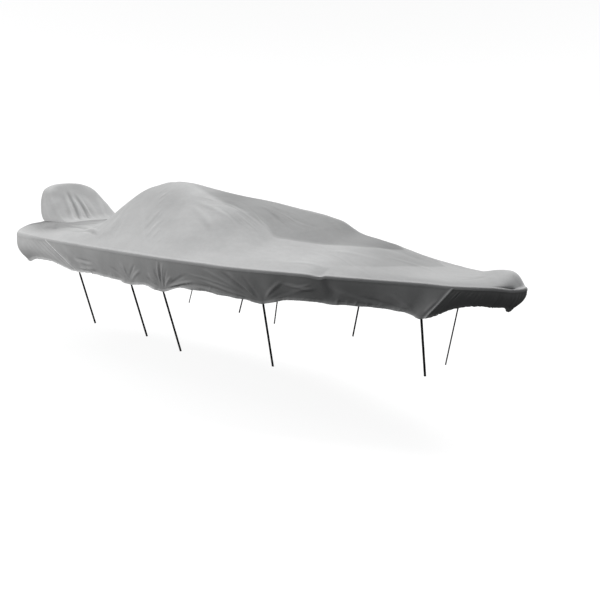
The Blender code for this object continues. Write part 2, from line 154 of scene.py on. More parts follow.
def ramp(tree, value, low, high, to_low, to_high):
    """Maps a value smoothly from one range to another."""
    step = wired(tree, "ShaderNodeMapRange", interpolation_type="SMOOTHSTEP")
    feed(tree, step.inputs["Value"], value)
    step.inputs["From Min"].default_value = low
    step.inputs["From Max"].default_value = high
    step.inputs["To Min"].default_value = to_low
    step.inputs["To Max"].default_value = to_high
    return step.outputs["Result"]


def bumped(tree, height, distance, strength, under=None):
    """A bump of a real height in metres, over another one."""
    bump = wired(tree, "ShaderNodeBump")
    bump.inputs["Strength"].default_value = strength
    bump.inputs["Distance"].default_value = distance
    feed(tree, bump.inputs["Height"], height)
    if under is not None:
        feed(tree, bump.inputs["Normal"], under)
    return bump.outputs["Normal"]


def woven_start(name, sheen, sheen_rough, gloss):
    """A new material: itself, its nodes, its shader, places along and across the cloth in metres,
    and the place in space."""
    finish = bpy.data.materials.new(name)
    finish.use_nodes = True
    tree = finish.node_tree
    shader = tree.nodes["Principled BSDF"]
    shader.inputs["Sheen Weight"].default_value = sheen
    shader.inputs["Sheen Roughness"].default_value = sheen_rough
    shader.inputs["Specular IOR Level"].default_value = gloss
    laid = wired(tree, "ShaderNodeSeparateXYZ")
    tree.links.new(wired(tree, "ShaderNodeUVMap", uv_map="cloth").outputs["UV"], laid.inputs["Vector"])
    place = wired(tree, "ShaderNodeTexCoord").outputs["Object"]
    return finish, tree, shader, laid.outputs["X"], laid.outputs["Y"], place


def webbing_finish():
    """Black webbing: ribs across it, a warp along it, and dusty, rubbed high spots."""
    finish, tree, shader, along, across, place = woven_start("strap_webbing", 0.25, 0.5, 0.35)
    rib, warp = threads(tree, along, STRAP_RIB), threads(tree, across, STRAP_WARP)
    woven = blended(tree, (rib, 0.5), (warp, 0.25))
    dust = grain(tree, place, 55.0, 4.0)
    dark, rubbed = (0.006, 0.006, 0.007), (0.026, 0.026, 0.027)
    tone = two_tone(tree, blended(tree, (dust, 1.0), (woven, 0.12)), 0.35, dark, 0.80, rubbed)
    tree.links.new(tone, shader.inputs["Base Color"])
    tree.links.new(ramp(tree, dust, 0.3, 0.7, 0.55, 0.75), shader.inputs["Roughness"])
    tree.links.new(bumped(tree, woven, 0.0004, 0.8), shader.inputs["Normal"])
    return finish


def strap_rings(tie):
    """The strap's route and, at each point of it, the ring of its section."""
    top, bend, end = Vector(tie.sewn_top), Vector(tie.bend), Vector(tie.end)
    route = [top.lerp(bend, k / STRAP_SEWN_STEPS) for k in range(STRAP_SEWN_STEPS)]
    route += [bend.lerp(end, k / STRAP_DROP_STEPS) for k in range(STRAP_DROP_STEPS + 1)]
    heading = math.radians(tie.heading)
    inward = Vector((0, 1 if tie.side == "starboard" else -1, 0))
    half, edge, thick = STRAP_WIDTH / 2, STRAP_SELVEDGE, STRAP_THICKNESS
    outline = ((-half + edge, 0), (half - edge, 0), (half, thick / 2), (half - edge, thick))
    outline += ((-half + edge, thick), (-half, thick / 2))
    rings = []
    for k, place in enumerate(route):
        run = (route[min(k + 1, len(route) - 1)] - route[max(k - 1, 0)]).normalized()
        share = min(max(k - STRAP_SEWN_STEPS, 0) / STRAP_TWIST_STEPS, 1)
        turned = heading + math.radians(tie.twist) * share
        wide = Vector((math.cos(turned), math.sin(turned), 0))
        wide = (wide - run * wide.dot(run)).normalized()
        deep = wide.cross(run)
        if deep.dot(inward) < 0:
            deep = -deep
        rings.append([place + wide * a + deep * b for a, b in outline])
    return route, rings


webbing = webbing_finish()
for tie in TIES:
    route, rings = strap_rings(tie)
    sides = len(rings[0])
    points = [point for ring in rings for point in ring]
    faces = [tuple(range(sides))]
    faces += [
        (k + c, k + sides + c, k + sides + (c + 1) % sides, k + (c + 1) % sides)
        for k in range(0, len(points) - sides, sides)
        for c in range(sides)
    ]
    faces.append(tuple(range(len(points) - 1, len(points) - sides - 1, -1)))
    mesh = bpy.data.meshes.new("webbing_" + tie.side + "_" + str(tie.number))
    mesh.from_pydata(points, [], faces)
    laid = mesh.uv_layers.new(name="cloth")
    gone = [0.0]
    for a, b in zip(route, route[1:]):
        gone.append(gone[-1] + (b - a).length)
    for corner in mesh.loops:
        ring, place = divmod(corner.vertex_index, sides)
        half = -1 if place in (0, 4, 5) else 1
        across = half * (rings[ring][place] - route[ring]).length
        laid.data[corner.index].uv = (gone[ring], across)
    mesh.materials.append(webbing)
    mesh.shade_smooth()
    mesh.set_sharp_from_angle(angle=math.radians(STRAP_CORNER))
    strap = placed(mesh.name, mesh)
    bpy.context.view_layer.update()
    middle = [sum(ring, Vector()) / sides for ring in rings]
    inner_side = (middle[0] - points[0]).cross(points[sides] - points[0])
    if inner_side.dot(mesh.polygons[0].normal) > 0:
        mesh.flip_normals()
    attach(strap, "root")
    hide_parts("strap_" + tie.side + "_" + str(tie.number))

# ---------------------------------------------------------------------------------------------
# The top.  Grey coated polyester, cut as one piece from rail to rail with an opening at the
# stern.  Poles push its middle up into a tent, and its lip turns over the rail onto the skirt.
GROUND = -2.381
CLOTH = 0.002
Section = namedtuple("Section", "x rail_y rail_z edge_up hip_y hip_z ridge_z crisp")
SECTIONS = [Section(*row) for row in (
    (-2.38, 0.93, 1.640, 0.020, 0.50, 1.690, 1.700, 0.0),
    (-2.20, 1.06, 1.632, 0.025, 0.50, 1.722, 1.740, 0.0),
    (-1.95, 1.13, 1.625, 0.030, 0.50, 1.730, 1.750, 0.0),
    (-1.60, 1.18, 1.612, 0.040, 0.47, 1.740, 1.760, 0.0),
    (-1.35, 1.20, 1.605, 0.050, 0.42, 1.755, 1.775, 0.0),
    (-1.12, 1.21, 1.600, 0.060, 0.36, 1.795, 1.850, 0.0),
    (-0.90, 1.22, 1.595, 0.075, 0.31, 1.900, 1.985, 0.0),
    (-0.72, 1.22, 1.593, 0.085, 0.30, 2.065, 2.130, 0.0),
    (-0.52, 1.22, 1.590, 0.095, 0.29, 2.180, 2.240, 0.0),
    (-0.25, 1.23, 1.586, 0.100, 0.26, 2.265, 2.335, 0.0),
    (0.00, 1.23, 1.583, 0.105, 0.25, 2.300, 2.385, 0.0),
    (0.20, 1.23, 1.580, 0.110, 0.25, 2.300, 2.379, 0.1),
    (0.60, 1.24, 1.578, 0.110, 0.28, 2.250, 2.320, 0.3),
    (1.05, 1.24, 1.575, 0.105, 0.36, 2.190, 2.256, 0.5),
    (1.50, 1.23, 1.575, 0.088, 0.46, 2.108, 2.222, 0.6),
    (1.78, 1.22, 1.575, 0.080, 0.41, 2.035, 2.190, 0.7),
    (1.92, 1.22, 1.575, 0.074, 0.425, 1.968, 2.170, 0.8),
    (2.10, 1.21, 1.576, 0.066, 0.505, 1.848, 2.142, 0.9),
    (2.32, 1.18, 1.577, 0.062, 0.46, 1.820, 2.113, 1.0),
    (2.57, 1.14, 1.580, 0.060, 0.427, 1.808, 2.070, 1.0),
    (2.75, 1.09, 1.580, 0.060, 0.41, 1.802, 2.025, 1.0),
    (2.92, 1.05, 1.580, 0.060, 0.37, 1.802, 1.935, 1.0),
    (3.28, 0.91, 1.572, 0.050, 0.225, 1.800, 1.850, 1.0),
    (3.70, 0.71, 1.560, 0.038, 0.13, 1.705, 1.724, 0.8),
    (4.05, 0.55, 1.552, 0.028, 0.13, 1.618, 1.640, 0.6),
    (4.31, 0.45, 1.543, 0.026, 0.14, 1.606, 1.628, 0.5),
    (4.59, 0.300, 1.544, 0.014, 0.11, 1.630, 1.680, 0.5),
    (4.70, 0.215, 1.536, 0.012, 0.08, 1.602, 1.643, 0.4),
    (4.77, 0.130, 1.522, 0.003, 0.05, 1.530, 1.535, 0.3),
)]
EDGE_IN = 0.12
Bulge = namedtuple("Bulge", "out reach power")
STERN_BULGE = Bulge(0.23, 0.90, 3)
BOW_BULGE = Bulge(0.085, 0.60, 2)
STERN_X, BOW_X = SECTIONS[0].x, SECTIONS[-1].x
# Across the top, places are counted from the centreline: 3 at the hip, 6 at the edge, 7 at the
# rail.  The opening under the hood runs from hip to hip between these two sections.
HIP, EDGE, RAIL = 3.0, 6.0, 7.0
HOLE_AFT, HOLE_FRONT = -2.32, -1.60
# The lip over the rail: out and down round the turn, then flat over the skirt.
LIP_OUT, LIP_DOWN = 0.018, 0.0234
LIP_STAND_OFF = 0.003
LIP_LAP = 0.012
LIP_TURN_STEPS = 5
STERN_ROLL, STERN_ROLL_REACH = 3.0, 1.25
# A nick in the starboard rail, where a fold is nipped under the lip.
NICK_X, NICK_AFT, NICK_FORE, NICK_DEPTH = 3.11, 0.090, 0.026, 0.018

# Broad folds, as ridges or troughs between two places, x and places from the centreline.
Fold = namedtuple("Fold", "x_from cell_from x_to cell_to half_width height")
FOLDS = [Fold(*row) for row in (
    (-0.35, -2.0, -0.75, -6.4, 0.11, 0.010),
    (0.05, -3.0, 0.30, -6.6, 0.12, 0.009),
    (0.55, -3.0, 0.85, -6.2, 0.10, -0.008),
    (-1.20, -3.2, -1.90, -5.6, 0.10, -0.010),
    (1.10, -2.0, 2.30, -3.4, 0.12, 0.009),
    (-0.30, 2.2, -0.60, 6.2, 0.12, 0.009),
    (0.40, 3.0, 0.75, 6.4, 0.11, -0.009),
    (-1.15, 3.4, -1.95, 5.8, 0.10, -0.010),
    (1.30, 2.4, 2.40, 4.2, 0.12, 0.010),
    (2.95, -2.6, 3.90, -1.4, 0.10, -0.008),
    (-1.05, -4.6, -0.35, -4.4, 0.16, -0.040),
    (-1.05, 4.6, -0.40, 4.4, 0.16, -0.030),
)]
FOLD_FULL_LENGTH, FOLD_FADE = 0.4, 0.5

# Creases, between two places a and b in plan, with how far their middle bows to the left.  Each widens
# along its run, rises over the first and last third of it and has a shallow trough on both sides.
CREASE_START_WIDTH, CREASE_WIDENING = 0.8, 0.4
CREASE_ENDS, CREASE_TROUGH, CREASE_CRISP = 0.35, 0.55, 0.9
Crease = namedtuple("Crease", "a_from b_from a_to b_to bow half_width height")
TOP_CREASES = [Crease(*row) for row in (
    # Aft slope of the tent down to the rail.
    (-0.36, -0.36, 0.71, -1.20, 0.00, 0.022, 0.0045),
    (-0.52, -0.40, -0.34, -0.98, 0.03, 0.035, 0.006),
    (-0.44, -0.55, -0.16, -1.08, 0.02, 0.028, -0.005),
    (-0.30, -0.62, 0.00, -1.12, 0.02, 0.030, 0.005),
    (-0.62, -0.52, -0.58, -1.05, -0.03, 0.030, 0.006),
    # Short wrinkles fanning from the fore side of the pole.
    (0.33, -0.86, 0.33, -0.55, 0.02, 0.022, 0.006),
    (0.40, -0.95, 0.39, -0.68, 0.02, 0.018, -0.004),
    (0.49, -0.99, 0.48, -0.72, 0.02, 0.022, 0.006),
    (0.62, -1.06, 0.60, -0.84, 0.015, 0.018, 0.005),
    (0.75, -1.14, 0.76, -0.95, 0.01, 0.018, 0.005),
    (0.00, -0.36, 0.04, -0.19, 0.01, 0.016, 0.006),
    (0.12, -0.47, 0.14, -0.31, 0.01, 0.016, 0.006),
    (0.18, -0.58, 0.20, -0.40, 0.01, 0.016, 0.005),
    # Along the fore slope, beside and on the roof.
    (0.86, -0.26, 1.66, -0.36, 0.02, 0.020, 0.007),
    (0.98, -0.30, 1.84, -0.43, 0.02, 0.022, 0.008),
    (0.92, -0.35, 1.72, -0.50, 0.02, 0.018, -0.006),
    (0.70, -0.38, 1.55, -0.62, 0.03, 0.026, 0.007),
    (0.63, -0.45, 1.45, -0.78, 0.04, 0.030, 0.006),
    (0.85, -0.60, 1.50, -0.88, 0.03, 0.026, -0.004),
    (1.61, -0.18, 2.21, -0.22, 0.01, 0.020, 0.006),
    (1.55, -0.10, 2.05, -0.13, 0.01, 0.016, 0.005),
    (1.72, -0.24, 2.30, -0.32, 0.01, 0.018, -0.005),
    (2.25, -0.37, 2.63, -0.17, 0.00, 0.012, 0.005),
    (2.50, -0.02, 2.86, -0.16, 0.01, 0.014, 0.006),
    # Catenary folds of the stern deck, slung between the hood and the tent.
    (-1.78, -0.60, -0.44, -0.90, 0.05, 0.030, 0.018),
    (-1.74, -0.67, -0.42, -0.98, 0.05, 0.028, -0.017),
    (-1.40, -0.84, -0.34, -1.03, 0.05, 0.027, 0.016),
    (-1.26, -0.93, -0.30, -1.09, 0.05, 0.025, -0.014),
    (-2.20, -0.62, -1.80, -0.98, 0.02, 0.036, 0.010),
    (-2.00, -0.60, -1.55, -0.95, 0.02, 0.034, -0.010),
    (-1.72, -0.20, -0.95, -0.16, 0.00, 0.030, 0.008),
    (-1.62, -0.42, -0.85, -0.50, 0.02, 0.030, -0.007),
    # Foredeck.
    (2.85, -0.55, 3.60, -0.42, 0.03, 0.030, 0.005),
    (2.60, -0.95, 3.14, -0.88, 0.03, 0.022, 0.005),
    (3.45, -0.30, 4.10, -0.20, 0.02, 0.024, 0.005),
    (4.15, -0.30, 4.50, -0.12, 0.01, 0.020, 0.005),
    (4.30, -0.38, 4.56, -0.10, 0.01, 0.016, -0.005),
)]
# Painted light and shade on the top, as the share of its colour taken away.  The aft deck is painted
# a shade darker, and the fore half and the tip are painted paler, as painted light.  The patches
# below paint shade on the flat raised middle, the foredeck and round the hood, and light on the crown.
PaintedLight = namedtuple("PaintedLight", "x darker")
TOP_PAINTED_LIGHT = [PaintedLight(*row) for row in (
    (-1.60, 0.07),
    (-0.60, 0.03),
    (-0.10, 0.0),
    (0.35, -0.06),
    (1.00, -0.12),
    (1.60, -0.17),
    (2.20, -0.11),
    (3.00, -0.13),
    (3.30, -0.10),
    (3.60, 0.0),
    (4.40, 0.0),
    (4.65, -0.18),
    (4.80, -0.55),
)]
# A patch runs along the middle and paints shade, light where darker is negative; soft is half the width
# of its blurred edge.
Patch = namedtuple("Patch", "x half_width soft darker")
# Painted shade on the flat raised middle, whose faces turn from the light.
ROOF_PAINTED_SHADE = [Patch(*row) for row in (
    (0.20, 0.02, 0.050, 0.05),
    (0.50, 0.095, 0.050, 0.22),
    (0.89, 0.24, 0.045, 0.38),
    (1.28, 0.38, 0.040, 0.49),
    (1.60, 0.410, 0.040, 0.40),
    (1.81, 0.400, 0.050, 0.33),
    (1.92, 0.415, 0.050, 0.28),
    (2.02, 0.455, 0.040, 0.25),
    (2.12, 0.500, 0.020, 0.23),
    (2.32, 0.464, 0.014, 0.24),
    (2.57, 0.430, 0.014, 0.29),
    (2.82, 0.402, 0.014, 0.35),
    (3.04, 0.325, 0.016, 0.37),
    (3.24, 0.243, 0.018, 0.39),
    (3.44, 0.098, 0.025, 0.37),
    (3.58, -0.060, 0.030, 0.20),
)]
# Painted shade on the foredeck.
FOREDECK_PAINTED_SHADE = [Patch(*row) for row in (
    (2.80, 0.92, 0.020, 0.00),
    (3.11, 0.80, 0.020, 0.03),
    (3.30, 0.68, 0.020, 0.07),
    (3.51, 0.55, 0.020, 0.13),
    (3.83, 0.23, 0.020, 0.18),
    (4.05, -0.05, 0.030, 0.15),
)]
# Painted light on the crown: it is made paler.
CROWN_PAINTED_LIGHT = [Patch(*row) for row in (
    (-0.10, 0.12, 0.150, 0.00),
    (0.30, 0.24, 0.150, -0.13),
    (0.60, 0.40, 0.150, -0.10),
    (0.95, 0.50, 0.150, 0.00),
)]
# Painted shadow on the deck round the foot of the hood.
HOOD_PAINTED_SHADOW = [Patch(*row) for row in (
    (-2.70, 0.66, 0.150, 0.30),
    (-2.38, 0.82, 0.200, 0.42),
    (-1.80, 1.00, 0.200, 0.42),
    (-1.40, 0.96, 0.200, 0.24),
    (-1.00, 0.82, 0.200, 0.00),
)]
# The port side folds alike but never the same.
PORT_SHIFT, PORT_SEED = 0.07, 11
# Slack all over the cloth, in broad and in narrow clouds.  Slack and creases grow this fast away
# from the rail, from both ends and from the opening.
SLACK, NARROW_SLACK = 0.0034, 0.0018
FROM_RAIL, FROM_ENDS, FROM_HOLE = 1.5, 6.0, 1.2
SAME = 1e-9
# The grid is drawn out to the opening's edge.  HOLE_ROW is one step of it on the scale of the
# opening, HOLE_PULL the steps this reaches, HOLE_STEP a step in metres and HOLE_SEAM the width
# that is marked as seam.
HOLE_ROW, HOLE_PULL = 2 / 7, 1.4
HOLE_STEP, HOLE_SEAM = 0.10, 0.08
# Faces that meet more sharply than this show an edge.
CLOTH_CORNER = 70


def through(knots, values, at):
    """Smooth curve through the knots, level where it turns back, at many places at once."""
    values = np.asarray(values, float)
    steps = np.diff(knots)
    chords = np.diff(values, axis=-1) / steps
    slopes = np.gradient(values, knots, axis=-1)
    turns = chords[..., :-1] * chords[..., 1:] <= 0
    slopes[..., 1:-1][turns] = 0.0
    at = np.clip(at, knots[0], knots[-1])
    left = np.clip(np.searchsorted(knots, at) - 1, 0, len(steps) - 1)
    t = (at - knots[left]) / steps[left]
    rise = values[..., left] * (1 + 2 * t) * (1 - t) ** 2 + values[..., left + 1] * t * t * (3 - 2 * t)
    lean = slopes[..., left] * t * (1 - t) ** 2 - slopes[..., left + 1] * t * t * (1 - t)
    return rise + steps[left] * lean


def column(table, x, name):
    """A named column of a table at many x."""
    knots = np.array([row.x for row in table])
    return through(knots, np.array([getattr(row, name) for row in table]), np.asarray(x, float))


def fade(distance, reach):
    """1 at no distance, falling smoothly to 0 at the reach."""
    t = np.minimum(np.abs(distance) / reach, 1.0)
    return 1 - t * t * (3 - 2 * t)


def broad_folds(x, cell, cell_size):
    """Sum of the broad folds over the sections and the places across them."""
    total = np.zeros((len(x), len(cell)))
    for fold in FOLDS:
        run_x = fold.x_to - fold.x_from
        run_y = ((fold.cell_to - fold.cell_from) * cell_size)[:, None]
        here_x = (x - fold.x_from)[:, None]
        here_y = (cell[None, :] - fold.cell_from) * cell_size[:, None]
        along = (here_x * run_x + here_y * run_y) / (run_x**2 + run_y**2)
        nearest = np.clip(along, 0, 1)
        away = np.hypot(here_x - nearest * run_x, here_y - nearest * run_y)
        from_middle = np.maximum(np.abs(along - 0.5) - FOLD_FULL_LENGTH / 2, 0)
        total += fold.height * np.exp(-((away / fold.half_width) ** 2)) * fade(from_middle, FOLD_FADE)
    return total


def top_surface(x, cell):
    """Points of the top for sections x and places across them."""
    x, cell = np.asarray(x, float), np.asarray(cell, float)
    rail_y, rail_z = column(SECTIONS, x, "rail_y"), column(SECTIONS, x, "rail_z")
    hip_y, hip_z = column(SECTIONS, x, "hip_y"), column(SECTIONS, x, "hip_z")
    edge_y = rail_y * (1 - EDGE_IN / SECTIONS[0].rail_y)
    edge_z = rail_z + column(SECTIONS, x, "edge_up")
    ridge_z = column(SECTIONS, x, "ridge_z")
    crisp = column(SECTIONS, x, "crisp")[:, None] * fade(np.maximum(np.abs(cell) - HIP, 0), EDGE - HIP)
    knots = np.array([-RAIL, -EDGE, -HIP, 0.0, HIP, EDGE, RAIL])
    widths = np.stack((-rail_y, -edge_y, -hip_y, 0 * hip_y, hip_y, edge_y, rail_y), axis=-1)
    heights = np.stack((rail_z, edge_z, hip_z, ridge_z, hip_z, edge_z, rail_z), axis=-1)
    flat_y = np.array([np.interp(cell, knots, row) for row in widths])
    flat_z = np.array([np.interp(cell, knots, row) for row in heights])
    y = through(knots, widths, cell) * (1 - crisp) + flat_y * crisp
    z = through(knots, heights, cell) * (1 - crisp) + flat_z * crisp
    across = np.abs(cell) / RAIL
    bow_out = (BOW_BULGE.out * fade(x - BOW_X, BOW_BULGE.reach))[:, None]
    stern_out = (STERN_BULGE.out * fade(x - STERN_X, STERN_BULGE.reach))[:, None]
    bulge = bow_out * (1 - across**BOW_BULGE.power) - stern_out * (1 - across**STERN_BULGE.power)
    folds = broad_folds(x, cell, rail_y / RAIL) * np.minimum(1.0, RAIL - np.abs(cell))
    return np.stack((x[:, None] + bulge, y, z + folds + GROUND), axis=-1)


def nick(x, cell):
    """How deep the nick in the starboard rail is."""
    reach = np.where(x < NICK_X, NICK_AFT, NICK_FORE)
    return NICK_DEPTH * np.exp(-(((x - NICK_X) / reach) ** 2)) * np.clip(-cell - EDGE, 0, 1)


def lip_roll(x):
    """How many times wider the lip rolls over the rail at x than along the sides."""
    return 1 + (STERN_ROLL - 1) * fade(x - STERN_X, STERN_ROLL_REACH)


def creased(rows, a, b):
    """Sum of the creases over a chart of the cloth."""
    total = np.zeros(np.shape(a))
    for row in rows:
        run_a, run_b = row.a_to - row.a_from, row.b_to - row.b_from
        length = math.hypot(run_a, run_b)
        along = ((a - row.a_from) * run_a + (b - row.b_from) * run_b) / length**2
        off = ((b - row.b_from) * run_a - (a - row.a_from) * run_b) / length
        off = off - row.bow * 4 * along * (1 - along)
        width = row.half_width * (CREASE_START_WIDTH + CREASE_WIDENING * np.clip(along, 0, 1))
        ends = 1 - fade(np.clip(np.minimum(along, 1 - along), 0, None), CREASE_ENDS)
        s = off / width
        total += row.height * ends * (1 - CREASE_TROUGH * s * s) * np.exp(-s * s * CREASE_CRISP)
    return total


def patched(rows, points):
    """How much darker each place is for a patch, none past its soft edge."""
    x, away = points[..., 0], np.abs(points[..., 1])
    half, soft = column(rows, x, "half_width"), column(rows, x, "soft")
    inside = 1 - fade(np.clip(half + soft - away, 0, None), 2 * soft)
    return inside * column(rows, x, "darker")


def crinkled(points, stretch, scale, seed):
    """Cloudy wrinkles from -1 to 1, longer along the axes with the smaller stretch."""
    places = (np.asarray(points).reshape(-1, 3) * stretch * scale) + seed
    made = [noise.noise(place) for place in places.tolist()]
    return np.array(made).reshape(np.shape(points)[:-1])


class Sheet:
    """Cloth as one grid or more of welded points, closed into a sheet when it is finished."""

    def __init__(self):
        self.points = np.zeros((0, 3))
        self.laid = np.zeros((0, 2))
        self.marks = {name: np.zeros(0) for name in ("seam", "hem", "fold", "tone")}
        self.quads = np.zeros((0, 4), int)

    def add(self, points, laid, **marks):
        """Adds a grid of points.  Returns their numbers in the same grid."""
        shape = points.shape[:-1]
        first = len(self.points)
        self.points = np.concatenate((self.points, points.reshape(-1, 3)))
        self.laid = np.concatenate((self.laid, np.broadcast_to(laid, (*shape, 2)).reshape(-1, 2)))
        for name, values in self.marks.items():
            unmarked = 0.0 if name in ("fold", "tone") else 1.0
            given = np.broadcast_to(marks.get(name, unmarked), shape)
            self.marks[name] = np.concatenate((values, given.reshape(-1)))
        return np.arange(first, len(self.points)).reshape(shape)

    def fill(self, numbers, keep=None):
        """Quads between the points of a grid, facing out where rows run right and columns up."""
        quads = np.stack(
            (numbers[:-1, :-1], numbers[1:, :-1], numbers[1:, 1:], numbers[:-1, 1:]), axis=-1
        )
        quads = quads.reshape(-1, 4) if keep is None else quads[keep]
        self.quads = np.concatenate((self.quads, quads))

    def normals(self):
        """The way out from the cloth at each point."""
        corners = self.points[self.quads]
        crosses = np.cross(corners[:, 2] - corners[:, 0], corners[:, 3] - corners[:, 1])
        total = np.zeros_like(self.points)
        for c in range(4):
            np.add.at(total, self.quads[:, c], crosses)
        return total / np.maximum(np.linalg.norm(total, axis=1), 1e-12)[:, None]

    def lift(self, height):
        """Moves every point out along its normal."""
        self.points = self.points + self.normals() * np.asarray(height)[:, None]

    def finish(self, name, finish):
        """Closes the sheet to the cloth's thickness and makes it an object."""
        used = np.unique(self.quads)
        place = np.zeros(len(self.points), int)
        place[used] = np.arange(len(used))
        front = place[self.quads]
        normals = self.normals()[used]
        outer = self.points[used]
        inner = outer - normals * CLOTH
        count = len(used)
        back = front[:, ::-1] + count
        edges = np.concatenate([front[:, (c, (c + 1) % 4)] for c in range(4)])
        forward = edges[:, 0] * count + edges[:, 1]
        backward = edges[:, 1] * count + edges[:, 0]
        open_edges = edges[~np.isin(forward, backward)]
        a, b = open_edges[:, 0], open_edges[:, 1]
        walls = np.stack((b, a, a + count, b + count), axis=-1)
        faces = np.concatenate((front, back, walls))
        mesh = bpy.data.meshes.new(name)
        mesh.from_pydata(np.concatenate((outer, inner)).tolist(), [], faces.tolist())
        laid = np.concatenate((self.laid[used], self.laid[used]))
        layer = mesh.uv_layers.new(name="cloth")
        layer.data.foreach_set("uv", laid[faces.reshape(-1)].astype(np.float32).reshape(-1))
        for mark, values in self.marks.items():
            stored = mesh.attributes.new(mark, "FLOAT", "POINT")
            both = np.concatenate((values[used], values[used])).astype(np.float32)
            stored.data.foreach_set("value", both)
        mesh.materials.append(finish)
        mesh.shade_smooth()
        mesh.set_sharp_from_angle(angle=math.radians(CLOTH_CORNER))
        return placed(name, mesh)


THREAD = 0.0011
STITCH_PITCH, STITCH_LENGTH = 0.0045, 0.68
STITCH_ROWS, HEM_STITCH = (0.0045, 0.0105), 0.0315
# Fine wrinkles too small for the mesh: where in plan, which way they run in degrees, how far they
# reach along and across, their pitch and their height.
Streak = namedtuple("Streak", "x y heading along across pitch height")
STREAKS = [Streak(*row) for row in (
    (1.35, -0.40, -9, 0.80, 0.24, 0.045, 0.0026),
    (2.05, -0.18, -6, 0.55, 0.16, 0.040, 0.0018),
    (0.40, -0.80, 97, 0.30, 0.34, 0.050, 0.0024),
    (0.08, -0.34, 85, 0.20, 0.20, 0.036, 0.0022),
    (-0.40, -0.86, -68, 0.42, 0.30, 0.050, 0.0022),
    (-1.05, -0.93, -12, 0.80, 0.22, 0.070, 0.0034),
    (-1.90, -0.92, -22, 0.50, 0.26, 0.060, 0.0026),
    (3.10, -0.62, -14, 0.60, 0.20, 0.060, 0.0014),
    (1.30, 0.42, 10, 0.80, 0.26, 0.045, 0.0024),
    (0.35, 0.80, -96, 0.32, 0.34, 0.050, 0.0024),
    (-0.45, 0.86, 66, 0.42, 0.30, 0.050, 0.0022),
    (-1.15, 0.92, 14, 0.80, 0.24, 0.070, 0.0034),
)]
STREAK_STRETCH = 0.16


def streaked(tree, place):
    """Height in metres of all the fine wrinkles, each patch fading out at its edge."""
    total = 0.0
    for row in STREAKS:
        patch = wired(tree, "ShaderNodeMapping", vector_type="TEXTURE")
        feed(tree, patch.inputs["Vector"], place)
        patch.inputs["Location"].default_value = (row.x, row.y, 0)
        patch.inputs["Rotation"].default_value = (0, 0, math.radians(row.heading))
        patch.inputs["Scale"].default_value = (row.along, row.across, 1000)
        length = wired(tree, "ShaderNodeVectorMath", operation="LENGTH")
        feed(tree, length.inputs[0], patch.outputs["Vector"])
        near = ramp(tree, length.outputs["Value"], 0.45, 1.0, 1.0, 0.0)
        drawn = wired(tree, "ShaderNodeMapping", vector_type="POINT")
        feed(tree, drawn.inputs["Vector"], patch.outputs["Vector"])
        across = row.across / row.pitch / 2
        drawn.inputs["Scale"].default_value = (row.along / row.pitch / 2 * STREAK_STRETCH, across, 0)
        cloud = grain(tree, drawn.outputs["Vector"], 1.0, 1.0)
        ridge = sums(tree, "ABSOLUTE", sums(tree, "SUBTRACT", cloud, 0.5))
        ridge = ramp(tree, ridge, 0.0, 0.16, row.height, 0.0)
        total = sums(tree, "ADD", total, sums(tree, "MULTIPLY", ridge, near))
    return total


def cover_finish(name, dark, light):
    """Coated polyester: a plain weave, a soft sheen, twin stitching at seams, light wear, and painted
    light and shade from its marks.
    """
    finish, tree, shader, along, across, place = woven_start(name, 0.12, 0.45, 0.30)
    marks = {}
    for mark in ("seam", "hem", "fold", "tone"):
        marks[mark] = wired(tree, "ShaderNodeAttribute", attribute_name=mark).outputs["Fac"]
    weave = sums(tree, "MULTIPLY", threads(tree, along, THREAD), threads(tree, across, THREAD))
    clouds, blotches = grain(tree, place, 2.2, 3.0), grain(tree, place, 19.0, 4.0)
    slubs, ripples = grain(tree, place, 420.0, 2.0), grain(tree, place, 34.0, 3.0)

    # Stitches: two rows beside each seam and one above the hem.
    dash = sums(tree, "FRACT", sums(tree, "DIVIDE", along, STITCH_PITCH))
    dash = sums(tree, "LESS_THAN", dash, STITCH_LENGTH)
    stitched = 0.0
    for distance, mark in ((STITCH_ROWS[0], "seam"), (STITCH_ROWS[1], "seam"), (HEM_STITCH, "hem")):
        off = sums(tree, "ABSOLUTE", sums(tree, "SUBTRACT", marks[mark], distance))
        stitched = sums(tree, "MAXIMUM", stitched, ramp(tree, off, 0.0004, 0.0010, 1.0, 0.0))
    thread = sums(tree, "MULTIPLY", stitched, dash)

    # Fold crests are rubbed paler and fold troughs painted darker as shade; seams are rubbed paler, the
    # hem is rubbed paler and painted as a highlight, and the thread is darker.
    shade = blended(
        tree,
        (clouds, 0.45),
        (blotches, 0.30),
        (slubs, 0.14),
        (weave, 0.05),
        (ramp(tree, marks["fold"], -0.012, 0.012, -0.16, 0.16), 1.0),
        (ramp(tree, marks["seam"], 0.0, 0.016, 0.10, 0.0), 1.0),
        (ramp(tree, marks["hem"], 0.0, 0.045, 0.16, 0.0), 1.0),
        (thread, -0.45),
    )
    # The tone mark scales the colour down: painted light and shade.
    painted_shading = wired(tree, "ShaderNodeVectorMath", operation="SCALE")
    tree.links.new(two_tone(tree, shade, 0.0, dark, 0.75, light), painted_shading.inputs[0])
    tree.links.new(sums(tree, "SUBTRACT", 1.0, marks["tone"]), painted_shading.inputs["Scale"])
    tree.links.new(painted_shading.outputs["Vector"], shader.inputs["Base Color"])
    rubbed = blended(tree, (blotches, 1.0), (slubs, 0.4))
    tree.links.new(ramp(tree, rubbed, 0.4, 1.0, 0.62, 0.80), shader.inputs["Roughness"])

    felled = ramp(tree, marks["seam"], 0.0125, 0.0150, 1.0, 0.0)
    normal = bumped(tree, ripples, 0.004, 0.22)
    normal = bumped(tree, streaked(tree, place), 1.0, 1.0, normal)
    normal = bumped(tree, felled, 0.0010, 0.9, normal)
    normal = bumped(tree, sums(tree, "MULTIPLY", stitched, -1.0), 0.0006, 0.8, normal)
    normal = bumped(tree, blended(tree, (weave, 0.6), (thread, 1.5)), 0.00018, 0.6, normal)
    tree.links.new(normal, shader.inputs["Normal"])
    return finish


